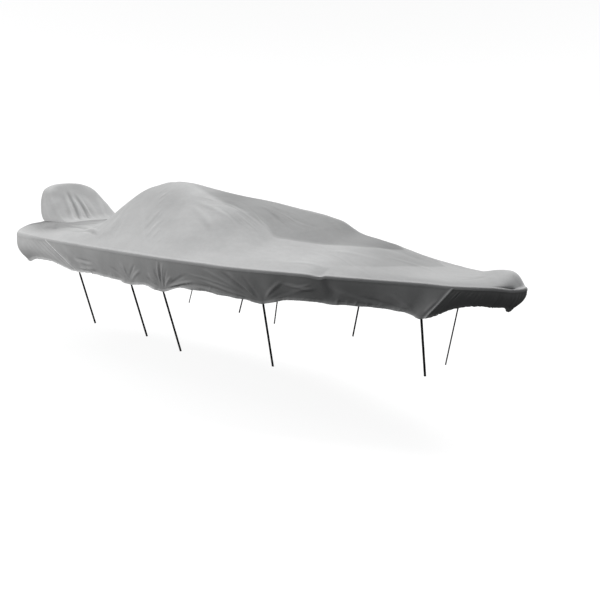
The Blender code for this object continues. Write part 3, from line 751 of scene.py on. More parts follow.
def port_twins(rows, chance):
    """The creases of the other side: the same set, each moved and scaled a little."""
    twins = []
    for row in rows:
        move = chance.uniform(-PORT_SHIFT, PORT_SHIFT)
        twins.append(row._replace(
            a_from=row.a_from + move,
            a_to=row.a_to + move + chance.uniform(-0.05, 0.05),
            b_from=-row.b_from,
            b_to=-row.b_to * chance.uniform(0.94, 1.03),
            bow=-row.bow * chance.uniform(0.6, 1.4),
            height=row.height * chance.uniform(0.7, 1.25),
        ))
    return twins


def evenly(*stops):
    """Places along a line: from each stop to the next in the given number of steps."""
    made = [np.array([stops[0]])]
    start = stops[0]
    for end, count in zip(stops[1::2], stops[2::2]):
        made.append(np.linspace(start, end, count + 1)[1:])
        start = end
    return np.concatenate(made)


def run_along(points):
    """Length gone along a line of points."""
    return np.concatenate(([0], np.cumsum(np.linalg.norm(np.diff(points, axis=0), axis=1))))


Ring = namedtuple("Ring", "aft_x front_x half_width squareness")
HOOD_EDGE = Ring(-2.58, -1.70, 0.545, 3.8)


def ring_outline(angle, aft_x, front_x, half_width, squareness):
    """A rounded square in plan, towards each angle from its middle."""
    c, s = np.cos(angle), np.sin(angle)
    size = (np.abs(c) ** squareness + np.abs(s) ** squareness) ** (-1 / squareness)
    x = (aft_x + front_x) / 2 + (front_x - aft_x) / 2 * c * size
    return x, half_width * s * size


def opening_edge(forward, side):
    """Plan of the opening's edge: forward and side run from -1 to 1 over its square."""
    return ring_outline(np.arctan2(side, forward), *HOOD_EDGE)


def rail_line(x_places, bow_places, stern_places):
    """The rail all round: forward to starboard, round the bow, aft to port, across the stern."""
    starboard = top_surface(x_places, [-RAIL])[:, 0]
    port = top_surface(x_places, [RAIL])[:, 0]
    bow = top_surface([BOW_X], bow_places)[0]
    stern = top_surface([STERN_X], stern_places)[0]
    line = np.concatenate((starboard[:-1], bow[:-1], port[:0:-1], stern[:0:-1]))
    x = np.concatenate((
        x_places[:-1],
        np.full(len(bow_places) - 1, BOW_X),
        x_places[:0:-1],
        np.full(len(stern_places) - 1, STERN_X),
    ))
    cell = np.concatenate((
        np.full(len(x_places) - 1, -RAIL),
        bow_places[:-1],
        np.full(len(x_places) - 1, RAIL),
        stern_places[:0:-1],
    ))
    run = np.roll(line, -1, axis=0) - np.roll(line, 1, axis=0)
    outward = np.stack((run[:, 1], -run[:, 0], 0 * run[:, 0]), axis=-1)
    outward /= np.linalg.norm(outward, axis=1)[:, None]
    return line, x, cell, outward, run_along(line)


top_x = evenly(STERN_X, HOLE_AFT, 3, HOLE_FRONT, 36, 2.20, 190, 3.60, 76, BOW_X, 64)
top_cells = evenly(-RAIL, -EDGE, 6, -HIP, 34, HIP, 30, EDGE, 34, RAIL, 6)
surface = top_surface(top_x, top_cells)
forward = (2 * top_x - HOLE_AFT - HOLE_FRONT) / (HOLE_FRONT - HOLE_AFT)
forward, sideways = np.meshgrid(forward, top_cells / HIP, indexing="ij")
edge_forward, edge_side = np.clip(forward, -1, 1), np.clip(sideways, -1, 1)
square_x, square_cells = np.clip(top_x, HOLE_AFT, HOLE_FRONT), np.clip(top_cells, -HIP, HIP)
flat_edge = top_surface(square_x, square_cells)[..., :2]
edge_x, edge_y = opening_edge(edge_forward, edge_side)
away = np.maximum(np.abs(forward - edge_forward) / HOLE_ROW, np.abs(sideways - edge_side) * HIP)
aft_room = (HOLE_AFT - STERN_X) / (HOLE_FRONT - HOLE_AFT) * 2 / HOLE_ROW
reach = np.where(forward < -1, aft_room, HOLE_PULL)
pull = fade(away, reach)[..., None]
surface[..., :2] += pull * (np.stack((edge_x, edge_y), axis=-1) - flat_edge)
surface[..., 2] -= nick(top_x[:, None], top_cells)

chance = random.Random(PORT_SEED)
top = Sheet()
run_x = np.broadcast_to(top_x[:, None], surface.shape[:2])
run_y = surface[..., 1]
wrinkles = creased(TOP_CREASES + port_twins(TOP_CREASES, chance), surface[..., 0], run_y)
wrinkles += SLACK * crinkled(surface, (0.7, 1.6, 1.0), 3.2, 5.0)
wrinkles += NARROW_SLACK * crinkled(surface, (1.0, 1.9, 1.0), 9.0, 17.0)
to_rail = np.minimum(1.0, (RAIL - np.abs(top_cells))[None, :] * FROM_RAIL)
to_ends = np.minimum(1.0, np.minimum(top_x - STERN_X, BOW_X - top_x)[:, None] * FROM_ENDS)
to_hole = np.minimum(1.0, away * FROM_HOLE)
wrinkles = wrinkles * to_rail * to_ends * to_hole
to_hole_seam = away * HOLE_STEP
hole_mark = np.where(to_hole_seam < HOLE_SEAM, to_hole_seam, 1.0)
# The tone mark of the top is painted light and shade, summed from the table and the patches above.
tone = column(TOP_PAINTED_LIGHT, surface[..., 0], "darker")
for rows in (ROOF_PAINTED_SHADE, FOREDECK_PAINTED_SHADE, CROWN_PAINTED_LIGHT, HOOD_PAINTED_SHADOW):
    tone = tone + patched(rows, surface)
grid = top.add(surface, np.stack((run_x, run_y), axis=-1), seam=hole_mark, fold=wrinkles, tone=tone)
in_hole_x = (forward[:-1, :-1] >= -1 - SAME) & (forward[1:, :-1] <= 1 + SAME)
in_hole_y = (sideways[:-1, :-1] >= -1 - SAME) & (sideways[:-1, 1:] <= 1 + SAME)
top.fill(grid, ~(in_hole_x & in_hole_y))
line, line_x, line_cell, outward, gone = rail_line(top_x, top_cells, top_cells)
rim = np.concatenate((grid[:-1, 0], grid[-1, :-1], grid[:0:-1, -1], grid[0, :0:-1]))
roll = lip_roll(line_x)
lip_profile = []
for k in range(1, LIP_TURN_STEPS + 1):
    turned = math.pi / 2 * k / LIP_TURN_STEPS
    out = (LIP_OUT * roll + LIP_STAND_OFF) * math.sin(turned)
    lip_profile.append((out, LIP_DOWN * roll * (1 - math.cos(turned))))
for k in (1, 2):
    lip_profile.append((LIP_OUT * roll + LIP_STAND_OFF, LIP_DOWN * roll + LIP_LAP * k / 2))
lower = rim
for out, down in lip_profile:
    points = line + outward * out[:, None]
    points[:, 2] -= down + nick(line_x, line_cell)
    to_seam = LIP_DOWN * roll + LIP_LAP - down
    upper = lower
    lower = top.add(points, np.stack((gone, -down), axis=-1), seam=to_seam)
    band = np.stack((np.append(lower, lower[0]), np.append(upper, upper[0])), axis=-1)
    top.fill(band)
top.lift(top.marks["fold"])
cloth = cover_finish("cover_cloth", (0.315, 0.315, 0.315), (0.490, 0.490, 0.488))
cover_top = top.finish("cover_top", cloth)
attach(cover_top, "root")
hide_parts("top")

# ---------------------------------------------------------------------------------------------
# The stern hood.  A tall sack of the same cloth, sewn round the opening of the top.  It is cut
# full, so that deep folds run down its sides to the seam.
Hoop = namedtuple("Hoop", "z aft_x front_x half_width squareness")
HOOD_RINGS = [Hoop(*row) for row in (
    (1.735, -2.58, -1.70, 0.545, 3.8),
    (1.800, -2.62, -1.87, 0.540, 3.6),
    (1.930, -2.65, -2.04, 0.515, 3.4),
    (2.060, -2.67, -2.20, 0.475, 3.2),
    (2.170, -2.67, -2.31, 0.420, 3.0),
    (2.240, -2.63, -2.38, 0.320, 2.7),
    (2.278, -2.56, -2.43, 0.170, 2.4),
    (2.288, -2.50, -2.48, 0.010, 2.2),
)]
HOOD_TIP = (-2.49, 0.0, 2.2885)
# The hood is painted a shade paler all over, as painted light.
HOOD_PAINTED_LIGHT = -0.07
HOOD_COLUMNS, HOOD_ROWS, HOOD_ROW_GROWTH = 264, 64, 0.93
# The hood stands this far off the opening's edge.
HOOD_STAND_OFF = 0.0008
HOOD_SLACK = 0.006
# Folds of the hood: direction from its middle in degrees, 0 forward and 90 to port, and height
# above the seam.  They spread as they rise and fade out below the crown.
HOOD_FOLD_SPREAD, HOOD_FOLD_FOOT = 0.7, 0.03
HOOD_FOLD_FULL, HOOD_FOLD_FADE = 0.35, 0.85
HOOD_CROWN_LEVEL, HOOD_CROWN_FADE = 5.0, 2.2
HOOD_FOLDS = [Crease(*row) for row in (
    (-34, 0.38, -42, 0.02, 2.0, 3.6, -0.010),
    (-28, 0.40, -36, 0.02, 2.0, 2.8, 0.018),
    (-22, 0.40, -30, 0.02, 2.0, 2.2, -0.020),
    (-16, 0.38, -24, 0.02, 2.0, 2.4, 0.019),
    (-9, 0.36, -15, 0.02, 2.0, 2.4, -0.019),
    (-3, 0.32, -8, 0.02, 1.0, 2.4, 0.017),
    (-60, 0.44, -56, 0.04, 2.0, 5.0, 0.007),
    (-114, 0.52, -120, 0.04, 2.0, 3.2, -0.012),
    (-124, 0.54, -130, 0.06, 2.0, 4.0, 0.014),
    (-134, 0.50, -140, 0.06, 2.0, 4.0, -0.010),
    (-96, 0.44, -92, 0.05, 2.0, 5.0, 0.006),
    (60, 0.44, 40, 0.02, -3.0, 4.5, 0.014),
    (72, 0.40, 56, 0.02, -2.0, 4.0, -0.012),
    (42, 0.34, 20, 0.02, -2.0, 4.0, 0.012),
    (96, 0.46, 90, 0.04, 2.0, 5.0, 0.008),
    (118, 0.50, 124, 0.05, -2.0, 4.5, -0.009),
    (150, 0.46, 156, 0.04, 2.0, 5.0, 0.008),
    (-150, 0.44, -158, 0.04, 2.0, 5.0, 0.008),
    (176, 0.40, 170, 0.04, 2.0, 5.0, -0.007),
    (8, 0.40, 4, 0.03, 2.0, 5.0, 0.006),
)]
turns_round = np.linspace(-math.pi, math.pi, HOOD_COLUMNS, endpoint=False)
square = np.maximum(np.abs(np.cos(turns_round)), np.abs(np.sin(turns_round)))
on_square = np.stack((np.cos(turns_round) / square, np.sin(turns_round) / square), axis=-1)
edge_at_x = HOLE_AFT + (on_square[:, 0] + 1) / 2 * (HOLE_FRONT - HOLE_AFT)
foot_z = np.array([
    top_surface([x], [cell])[0, 0, 2] - GROUND for x, cell in zip(edge_at_x, on_square[:, 1] * HIP)
])
knots = np.arange(len(HOOD_RINGS), dtype=float)
levels = np.linspace(0, 1, HOOD_ROWS) ** HOOD_ROW_GROWTH * knots[-1]
ring_z = np.tile([ring.z for ring in HOOD_RINGS], (HOOD_COLUMNS, 1))
ring_z[:, 0] = foot_z
height = through(knots, ring_z, levels)
shape = [through(knots, [getattr(ring, name) for ring in HOOD_RINGS], levels) for name in Ring._fields]
plan_x, plan_y = ring_outline(turns_round[:, None], *shape)
shell = np.stack((plan_x, plan_y, height + GROUND), axis=-1)
degrees = np.degrees(turns_round)[:, None] + 0 * height
above = height - foot_z[:, None]
folds = np.zeros_like(height)
for row in HOOD_FOLDS:
    share = np.clip((above - row.b_to) / (row.b_from - row.b_to), 0, 1)
    middle = row.a_to + (row.a_from - row.a_to) * share + row.bow * 4 * share * (1 - share)
    off = (degrees - middle + 180) % 360 - 180
    s = off / (row.half_width * (CREASE_START_WIDTH + HOOD_FOLD_SPREAD * share))
    ends = fade(above - row.b_from * HOOD_FOLD_FULL, row.b_from * HOOD_FOLD_FADE)
    ends *= np.clip(above / HOOD_FOLD_FOOT, 0, 1)
    folds += row.height * ends * (1 - 0.5 * s * s) * np.exp(-s * s * 0.9)
folds += HOOD_SLACK * crinkled(shell, (1.5, 1.5, 0.7), 5.0, 31.0) * np.clip(above / 0.08, 0, 1)
folds *= fade(np.maximum(levels - HOOD_CROWN_LEVEL, 0), HOOD_CROWN_FADE)
hood = Sheet()
rise = np.array([run_along(rib) for rib in shell])
laid = np.stack(np.broadcast_arrays(run_along(shell[:, 0])[:, None], rise), axis=-1)
shell[..., 2] += HOOD_STAND_OFF
numbers = hood.add(shell, laid, seam=rise, fold=folds, tone=HOOD_PAINTED_LIGHT)
crown = hood.add(np.array([[HOOD_TIP]]) + (0, 0, GROUND), np.zeros(2))
hood.fill(np.concatenate((numbers, numbers[:1])))
ring_top = np.append(numbers[:, -1], numbers[0, -1])
pairs = np.stack((ring_top[:-1:2], ring_top[1::2], ring_top[2::2]), axis=-1)
hood.quads = np.concatenate((hood.quads, np.insert(pairs, 3, crown[0, 0], axis=1)))
hood.lift(hood.marks["fold"])
stern_hood = hood.finish("stern_hood_cloth", cloth)
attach(stern_hood, "root")
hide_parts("stern_hood")

# ---------------------------------------------------------------------------------------------
# The two skirts.  Long strips of the same cloth, one down each side, sewn under the lip of the
# top.  The hem is turned twice round a cord, and the straps pull folds into it.
Hem = namedtuple("Hem", "x drop draw_in")
HEMS = [Hem(*row) for row in (
    (-2.36, 0.470, 0.050),
    (-2.09, 0.440, 0.050),
    (-1.82, 0.370, 0.045),
    (-1.28, 0.330, 0.045),
    (-0.78, 0.400, 0.065),
    (-0.63, 0.405, 0.070),
    (-0.50, 0.385, 0.060),
    (-0.20, 0.385, 0.060),
    (0.20, 0.395, 0.070),
    (0.39, 0.415, 0.075),
    (0.65, 0.385, 0.070),
    (0.95, 0.425, 0.085),
    (1.25, 0.345, 0.065),
    (1.62, 0.335, 0.070),
    (2.15, 0.355, 0.080),
    (2.42, 0.380, 0.100),
    (2.75, 0.310, 0.085),
    (3.10, 0.305, 0.090),
    (3.60, 0.305, 0.090),
    (3.93, 0.345, 0.080),
    (4.00, 0.372, 0.070),
    (4.08, 0.350, 0.080),
    (4.30, 0.250, 0.110),
    (4.77, 0.210, 0.150),
)]
STERN_DROP, STERN_DRAW_IN = 0.450, 0.050
BOW_DROP, BOW_DRAW_IN, BOW_DROP_POWER = 0.250, 0.150, 4
# Round the stem each side of the hem keeps at least this share of its rail's distance from the
# middle.  That holds before its gathers are added, and these still cross a little there.
STEM_KEPT = 0.35
# The cloth curls in toward its hem, most of all at the bow.
SKIRT_CURL, BOW_CURL, BOW_CURL_REACH = 1.3, 2.5, 0.35
# The stern band hangs full, like a bag, and tucks in at its hem.
STERN_BAG, STERN_BAG_REACH, STERN_TUCK = 0.062, 0.95, 0.055
# The hem is swollen by its cord and stands out a little from the cloth above it.
HEM_HEIGHT, HEM_SWELL = 0.030, 0.0035
HEM_FLARE, HEM_FLARE_HEIGHT = 0.016, 0.030
HEM_GROOVE, HEM_GROOVE_WIDTH = 0.0012, 0.004
HEM_UNEVEN_HEIGHT = 0.055
# Painted highlights along the hem and the seams, where their edges catch the light; the seams are partly
# rubbed paler too.
HEM_PAINTED_HIGHLIGHT, HEM_HIGHLIGHT_REACH, SEAM_PAINTED_HIGHLIGHT = 0.90, 0.026, 0.80
Seam = namedtuple("Seam", "x slant reach_aft reach_forward")
STERN_SEAM = Seam(-1.32, 0.62, 1.00, 1.80)
BOW_SEAM = Seam(4.30, -0.25, 0.90, 0.45)
# A skirt laps over the panels beyond its seams and stands off them, with a ridge on the seam.
SEAM_LAP, SEAM_STAND_OFF = 0.012, 0.0028
SEAM_RIDGE, SEAM_RIDGE_WIDTH = 0.005, 0.008
# Every strap pulls broad waves into the hem and swells the cloth over its sewn top.
STRAP_X = (-0.72, 0.39, 0.95, 2.42, 4.00)
PULL_REACH, PULL_WAVE = 0.34, 0.30
PULL_DEPTH, PULL_PHASE, PULL_POWER = 0.012, 0.6, 3
SEWN_REACH, SEWN_HEIGHT, SEWN_SWELL = 0.080, 0.200, 0.010
# Folds begin this far below the lip and from a seam, and are full so much further on.  A little of
# them runs on into the seam.
LIP_CLEAR, LIP_GROW = 0.014, 0.04
SEAM_CLEAR, SEAM_GROW, SEAM_LEAST = 0.010, 0.03, 0.1
# The seam under the lip is sewn this far inside its edge.
LIP_SEWN_IN = 0.001
SKIRT_SLACK, SKIRT_SLACK_GROW = 0.0040, 0.15
# Rows of the cloth, measured from the rail and from the hem.
RAIL_STEPS = (0.0, 0.006, 0.014, 0.022)
HEM_STEPS = (0.036, 0.0315, 0.026, 0.018, 0.010, 0.003, 0.0)
SKIRT_MIDDLE_ROWS = 26
NEAR = 1e-4
# Painted shade on the skirts, darkest amidships, with a little painted light further forward.
SKIRT_PAINTED_SHADE = [PaintedLight(*row) for row in (
    (1.00, 0.03),
    (1.60, 0.10),
    (2.20, 0.20),
    (3.00, 0.25),
    (3.40, 0.12),
    (3.80, -0.06),
    (4.20, 0.0),
)]
# Creases of the starboard skirt: x and depth below the rail.
SKIRT_CREASES = [Crease(*row) for row in (
    # Strap 1.
    (-0.72, 0.20, -0.30, 0.22, 0.010, 0.016, -0.009),
    (-0.72, 0.23, -0.28, 0.26, 0.012, 0.026, 0.008),
    (-0.74, 0.36, -0.20, 0.33, 0.012, 0.020, -0.007),
    (-0.70, 0.34, -0.25, 0.29, 0.014, 0.022, 0.007),
    (-0.70, 0.38, -1.10, 0.18, 0.010, 0.022, 0.006),
    # Strap 2.
    (0.39, 0.38, 0.66, 0.20, -0.015, 0.020, 0.009),
    (0.36, 0.37, 0.58, 0.13, -0.020, 0.016, -0.008),
    (0.40, 0.39, 0.22, 0.10, 0.012, 0.020, 0.007),
    (0.38, 0.39, -0.02, 0.22, 0.012, 0.022, -0.006),
    (0.34, 0.38, 0.30, 0.12, 0.010, 0.016, 0.005),
    # Strap 3.
    (0.93, 0.40, 0.99, 0.02, -0.010, 0.016, 0.009),
    (0.96, 0.38, 1.03, 0.03, -0.008, 0.013, -0.009),
    (0.97, 0.40, 1.08, 0.04, -0.010, 0.014, 0.009),
    (0.99, 0.40, 1.13, 0.12, -0.012, 0.013, -0.008),
    (1.00, 0.40, 1.20, 0.20, -0.015, 0.016, 0.008),
    (0.90, 0.39, 0.61, 0.36, -0.030, 0.020, 0.008),
    (0.92, 0.38, 0.70, 0.26, -0.020, 0.018, -0.012),
    (0.92, 0.38, 0.76, 0.20, -0.010, 0.018, 0.010),
    (0.94, 0.38, 0.88, 0.14, 0.010, 0.016, -0.007),
    (1.02, 0.40, 1.52, 0.28, -0.020, 0.018, -0.014),
    (1.04, 0.38, 1.58, 0.23, -0.020, 0.020, 0.012),
    (1.06, 0.36, 1.45, 0.16, -0.015, 0.020, -0.007),
    (1.05, 0.33, 1.72, 0.31, -0.010, 0.016, 0.008),
    # Strap 4, long shallow pulls from the rail.
    (2.40, 0.36, 1.62, 0.05, 0.030, 0.020, 0.009),
    (2.38, 0.35, 1.92, 0.05, 0.020, 0.015, -0.016),
    (2.40, 0.34, 2.02, 0.04, 0.020, 0.018, 0.012),
    (2.36, 0.36, 1.55, 0.20, 0.015, 0.018, 0.012),
    (2.34, 0.36, 1.50, 0.26, 0.010, 0.016, -0.012),
    (2.32, 0.355, 1.42, 0.29, 0.008, 0.014, 0.012),
    (2.20, 0.26, 1.40, 0.15, 0.015, 0.016, 0.007),
    (2.42, 0.35, 2.22, 0.06, 0.010, 0.018, -0.006),
    (2.46, 0.35, 2.74, 0.08, -0.015, 0.022, 0.008),
    (2.48, 0.36, 2.92, 0.18, -0.015, 0.020, -0.008),
    (2.50, 0.35, 3.10, 0.13, -0.020, 0.024, 0.008),
    # Between straps 4 and 5.
    (2.68, 0.12, 3.08, 0.17, 0.012, 0.022, 0.013),
    (2.80, 0.16, 3.04, 0.10, 0.010, 0.014, 0.007),
    (3.12, 0.02, 3.26, 0.25, -0.010, 0.055, -0.009),
    (3.18, 0.12, 3.72, 0.29, 0.015, 0.030, 0.010),
    (3.96, 0.34, 3.40, 0.20, 0.020, 0.022, -0.008),
    (3.98, 0.34, 3.72, 0.12, 0.010, 0.022, 0.007),
    (4.02, 0.34, 4.22, 0.12, -0.010, 0.018, 0.006),
    # Small puckers of the hem.
    (2.90, 0.30, 2.94, 0.25, 0.004, 0.010, 0.003),
    (3.24, 0.30, 3.28, 0.24, 0.004, 0.010, 0.006),
    (3.34, 0.30, 3.37, 0.25, 0.004, 0.009, 0.005),
    (3.42, 0.30, 3.46, 0.24, 0.004, 0.010, 0.006),
    (3.53, 0.30, 3.55, 0.25, 0.004, 0.009, 0.005),
    (3.63, 0.30, 3.67, 0.25, 0.004, 0.010, 0.005),
    (1.72, 0.33, 1.76, 0.25, 0.004, 0.014, 0.006),
    (1.44, 0.33, 1.40, 0.25, 0.004, 0.014, 0.006),
    (0.05, 0.38, 0.02, 0.30, 0.004, 0.014, 0.005),
)]


def slant_at(x):
    """How far the cloth leans forward between the rail at x and the hem."""
    total = 0.0
    for seam in (STERN_SEAM, BOW_SEAM):
        reach = np.where(x > seam.x, seam.reach_forward, seam.reach_aft)
        total = total + seam.slant * fade(x - seam.x, reach)
    return total


def skirt_surface(rail, x, cell, outward):
    """Hanging cloth below the rail.  Returns its points from the hem up, with the depth below
    the rail and the distance from the hem at each."""
    side = np.where(cell > 0, 1.0, -1.0)
    across = np.abs(cell) / RAIL
    hem_x = x + slant_at(x)
    drop, draw_in = column(HEMS, hem_x, "drop"), column(HEMS, hem_x, "draw_in")
    at_stern = (x == STERN_X) & (across < 1)
    at_bow = (x == BOW_X) & (across < 1)
    drop += np.where(at_stern, (STERN_DROP - drop) * (1 - across**2), 0)
    draw_in += np.where(at_stern, (STERN_DRAW_IN - draw_in) * (1 - across**2), 0)
    drop += np.where(at_bow, (BOW_DROP - drop) * (1 - across**BOW_DROP_POWER), 0)
    draw_in += np.where(at_bow, (BOW_DRAW_IN - draw_in) * (1 - across**2), 0)
    bag = fade(x - STERN_X, STERN_BAG_REACH)
    draw_in += STERN_TUCK * bag
    lip_out, lip_down = (LIP_OUT * lip_roll(x))[:, None], (LIP_DOWN * lip_roll(x))[:, None]
    length = drop[:, None] - lip_down
    near_rail = np.array(RAIL_STEPS) / length
    near_hem = 1 - np.array(HEM_STEPS) / length
    share = np.linspace(0, 1, SKIRT_MIDDLE_ROWS + 2)[1:-1]
    middle = near_rail[:, -1:] + (near_hem[:, :1] - near_rail[:, -1:]) * share
    t = np.concatenate((near_rail, middle, near_hem), axis=1)[:, ::-1]
    slant = slant_at(x)[:, None] * t
    pull = np.zeros_like(t)
    for strap_x in STRAP_X:
        away = x[:, None] + slant - strap_x
        wave = np.cos(2 * math.pi * away / PULL_WAVE + PULL_PHASE * side[:, None])
        pull += PULL_DEPTH * wave * fade(away, PULL_REACH)
    curl = SKIRT_CURL + (BOW_CURL - SKIRT_CURL) * fade(x - BOW_X, BOW_CURL_REACH)
    out = lip_out - (lip_out + draw_in[:, None]) * t ** curl[:, None]
    out += STERN_BAG * bag[:, None] * np.sin(math.pi * t**1.2)
    out -= pull * t * across[:, None] ** PULL_POWER
    depth = lip_down + t * length
    forward = np.stack((-outward[:, 1], outward[:, 0], 0 * x), axis=-1) * -side[:, None]
    forward *= (across == 1)[:, None]
    points = rail[:, None] + outward[:, None] * out[..., None] + forward[:, None] * slant[..., None]
    points[..., 2] -= depth
    kept = STEM_KEPT * np.abs(rail[:, 1:2])
    points[..., 1] = side[:, None] * np.maximum(side[:, None] * points[..., 1], kept)
    return points, depth, depth[:, :1] - depth, x[:, None] + slant


def wavering(along, *place):
    """Noise from -1 to 1 at each length along a hem: its steps to the metre and where it is cut."""
    scale, second, third = place
    return np.array([noise.noise((a * scale, second, third)) for a in along])[:, None]


def hem_swell(from_hem, along, seed):
    """How far the cord in the turned hem swells it, uneven along the hem."""
    gathers, wide = wavering(along, 26.0, seed, 0.0), wavering(along, 5.0, seed, 9.0)
    swell = np.sin(math.pi * np.clip(from_hem / HEM_HEIGHT, 0, 1)) ** 0.7
    groove = np.exp(-(((from_hem - HEM_STITCH) / HEM_GROOVE_WIDTH) ** 2))
    above = np.exp(-((from_hem / HEM_UNEVEN_HEIGHT) ** 2))
    flare = HEM_FLARE * (0.7 + 1.2 * wide) * np.exp(-((from_hem / HEM_FLARE_HEIGHT) ** 2))
    swollen = HEM_SWELL * swell * (1 + 0.35 * gathers) - HEM_GROOVE * groove
    return swollen + flare + (0.003 * gathers + 0.002 * wide) * above


skirt_x = evenly(
    STERN_X,
    STERN_SEAM.x - SEAM_LAP, 84,
    STERN_SEAM.x, 2,
    STERN_SEAM.x + 2 * SEAM_LAP, 4,
    BOW_SEAM.x - 2 * SEAM_LAP, 480,
    BOW_SEAM.x, 4,
    BOW_SEAM.x + SEAM_LAP, 2,
    BOW_X, 44,
)
end_cells = evenly(-RAIL, -EDGE, 10, -HIP, 34, HIP, 56, EDGE, 34, RAIL, 10)
rail, rail_x, rail_cell, rail_out, rail_gone = rail_line(skirt_x, end_cells, end_cells)


def hanging(numbers):
    """The hanging cloth below some stretch of the rail."""
    return skirt_surface(rail[numbers], rail_x[numbers], rail_cell[numbers], rail_out[numbers])


def below_lip(numbers, depth, clear=LIP_CLEAR, grow=LIP_GROW):
    """How far the cloth is below the turn of the lip, and how much its folds may show there."""
    to_lip = depth - LIP_DOWN * lip_roll(rail_x[numbers])[:, None]
    return to_lip, np.clip((to_lip - clear) / grow, 0, 1)


def hung(name, finish, points, along, from_hem, folds, raised, **marks):
    """A hanging panel as an object, lifted off its smooth shape by its folds and all else on it."""
    panel = Sheet()
    laid = np.stack(np.broadcast_arrays(along[:, None], from_hem), axis=-1)
    panel.fill(panel.add(points, laid, hem=from_hem, **marks))
    panel.lift((folds + raised).reshape(-1))
    return panel.finish(name, finish)


for side, side_name in ((-1, "starboard"), (1, "port")):
    in_seams = (rail_x > STERN_SEAM.x - SEAM_LAP - NEAR) & (rail_x < BOW_SEAM.x + SEAM_LAP + NEAR)
    on_side = np.where((rail_cell == side * RAIL) & in_seams)[0]
    points, depth, from_hem, chart_x = hanging(on_side)
    creases = SKIRT_CREASES
    if side > 0:
        creases = [row._replace(
            a_from=row.a_from + chance.uniform(-0.01, 0.01),
            a_to=row.a_to + chance.uniform(-0.10, 0.10),
            bow=row.bow * chance.uniform(0.5, 1.5),
            height=row.height * chance.uniform(0.7, 1.2),
        ) for row in SKIRT_CREASES]
    folds = creased(creases, chart_x, depth)
    slack = crinkled(points, (1.0, 1.0, 0.45), 6.0, 40.0 + side)
    folds += SKIRT_SLACK * slack * np.clip(depth / SKIRT_SLACK_GROW, 0, 1)
    to_strap = np.min([np.abs(chart_x - strap_x) for strap_x in STRAP_X], axis=0)
    sewn = fade(to_strap, SEWN_REACH) * fade(from_hem, SEWN_HEIGHT)
    folds = np.where(folds < 0, folds * (1 - sewn), folds) + SEWN_SWELL * sewn
    to_lip, shown = below_lip(on_side, depth)
    place = rail_x[on_side][:, None]
    to_seams = np.minimum(place - STERN_SEAM.x, BOW_SEAM.x - place)
    folds *= shown * np.clip(to_seams / 0.05, 0.15, 1)
    lap = SEAM_STAND_OFF * fade(np.maximum(to_seams - SEAM_LAP, 0), 0.010)
    ridge = SEAM_RIDGE * np.exp(-((to_seams / SEAM_RIDGE_WIDTH) ** 2))
    swell = hem_swell(from_hem, rail_gone[on_side], 3.0 + side)
    seam_mark = np.abs(np.minimum(to_lip - LIP_LAP + LIP_SEWN_IN, to_seams + SEAM_LAP))
    # Painted shade along the skirt, and painted highlights along the hem and beside the seams.
    tone = column(SKIRT_PAINTED_SHADE, chart_x, "darker") - HEM_PAINTED_HIGHLIGHT * fade(from_hem, HEM_HIGHLIGHT_REACH)
    tone -= SEAM_PAINTED_HIGHLIGHT * np.exp(-((to_seams / 0.010) ** 2))
    # The fold mark paints crests paler and troughs darker as shade; the seam ridge counts twice in it, as
    # a painted highlight.
    name, raised, crests = "skirt_cloth_" + side_name, lap + ridge + swell, folds + 2 * ridge
    marks = {"seam": seam_mark, "fold": crests, "tone": tone}
    made = hung(name, cloth, points, rail_gone[on_side], from_hem, folds, raised, **marks)
    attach(made, "root")
    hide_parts(side_name + "_skirt")

# ---------------------------------------------------------------------------------------------
# The stern panel.  One band that wraps both stern corners, cut from the same cloth and joined
# to the skirts by slanted felled seams.  Its fullness stands in fine folds beside them.
STERN_PUCKER, STERN_PUCKER_HEIGHT = 0.095, 0.0065
PUCKER_FULL, PUCKER_FADE = 0.15, 1.30
STERN_SLACK = 0.006
on_stern = rail_x == STERN_X
aft = on_stern | (rail_x < STERN_SEAM.x + NEAR)
around_stern = np.concatenate((
    np.where(aft & (rail_cell == RAIL))[0],
    np.where(on_stern & (np.abs(rail_cell) < RAIL))[0],
    np.where(aft & (rail_cell == -RAIL))[0],
))
points, depth, from_hem, _ = hanging(around_stern)
along = run_along(rail[around_stern])
from_seam = np.minimum(along, along[-1] - along)[:, None]
gather = wavering(along, 3.0, 2.0, 7.0)
waves = np.sin(math.pi * (from_seam + 0.10 * depth) / STERN_PUCKER + 2.5 * gather)
strength = fade(np.maximum(from_seam - PUCKER_FULL, 0), PUCKER_FADE)
folds = STERN_PUCKER_HEIGHT * (np.abs(waves) ** 1.4 - 0.4) * strength * (0.75 + 0.8 * gather)
slack = crinkled(points, (1.0, 1.0, 0.5), 5.0, 51.0)
folds += STERN_SLACK * slack * np.clip(depth / SKIRT_SLACK_GROW, 0, 1)
to_lip, shown = below_lip(around_stern, depth)
folds *= shown * np.clip((from_seam - SEAM_CLEAR) / SEAM_GROW, SEAM_LEAST, 1)
swell = hem_swell(from_hem, along, 12.0)
seam_mark = np.abs(to_lip - LIP_LAP + LIP_SEWN_IN)
# Painted highlight along the hem.
tone = -HEM_PAINTED_HIGHLIGHT * fade(from_hem, HEM_HIGHLIGHT_REACH)
marks = {"seam": seam_mark, "fold": folds, "tone": tone}
stern_panel = hung("stern_panel_cloth", cloth, points, along, from_hem, folds, swell, **marks)
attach(stern_panel, "root")
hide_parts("stern_panel")

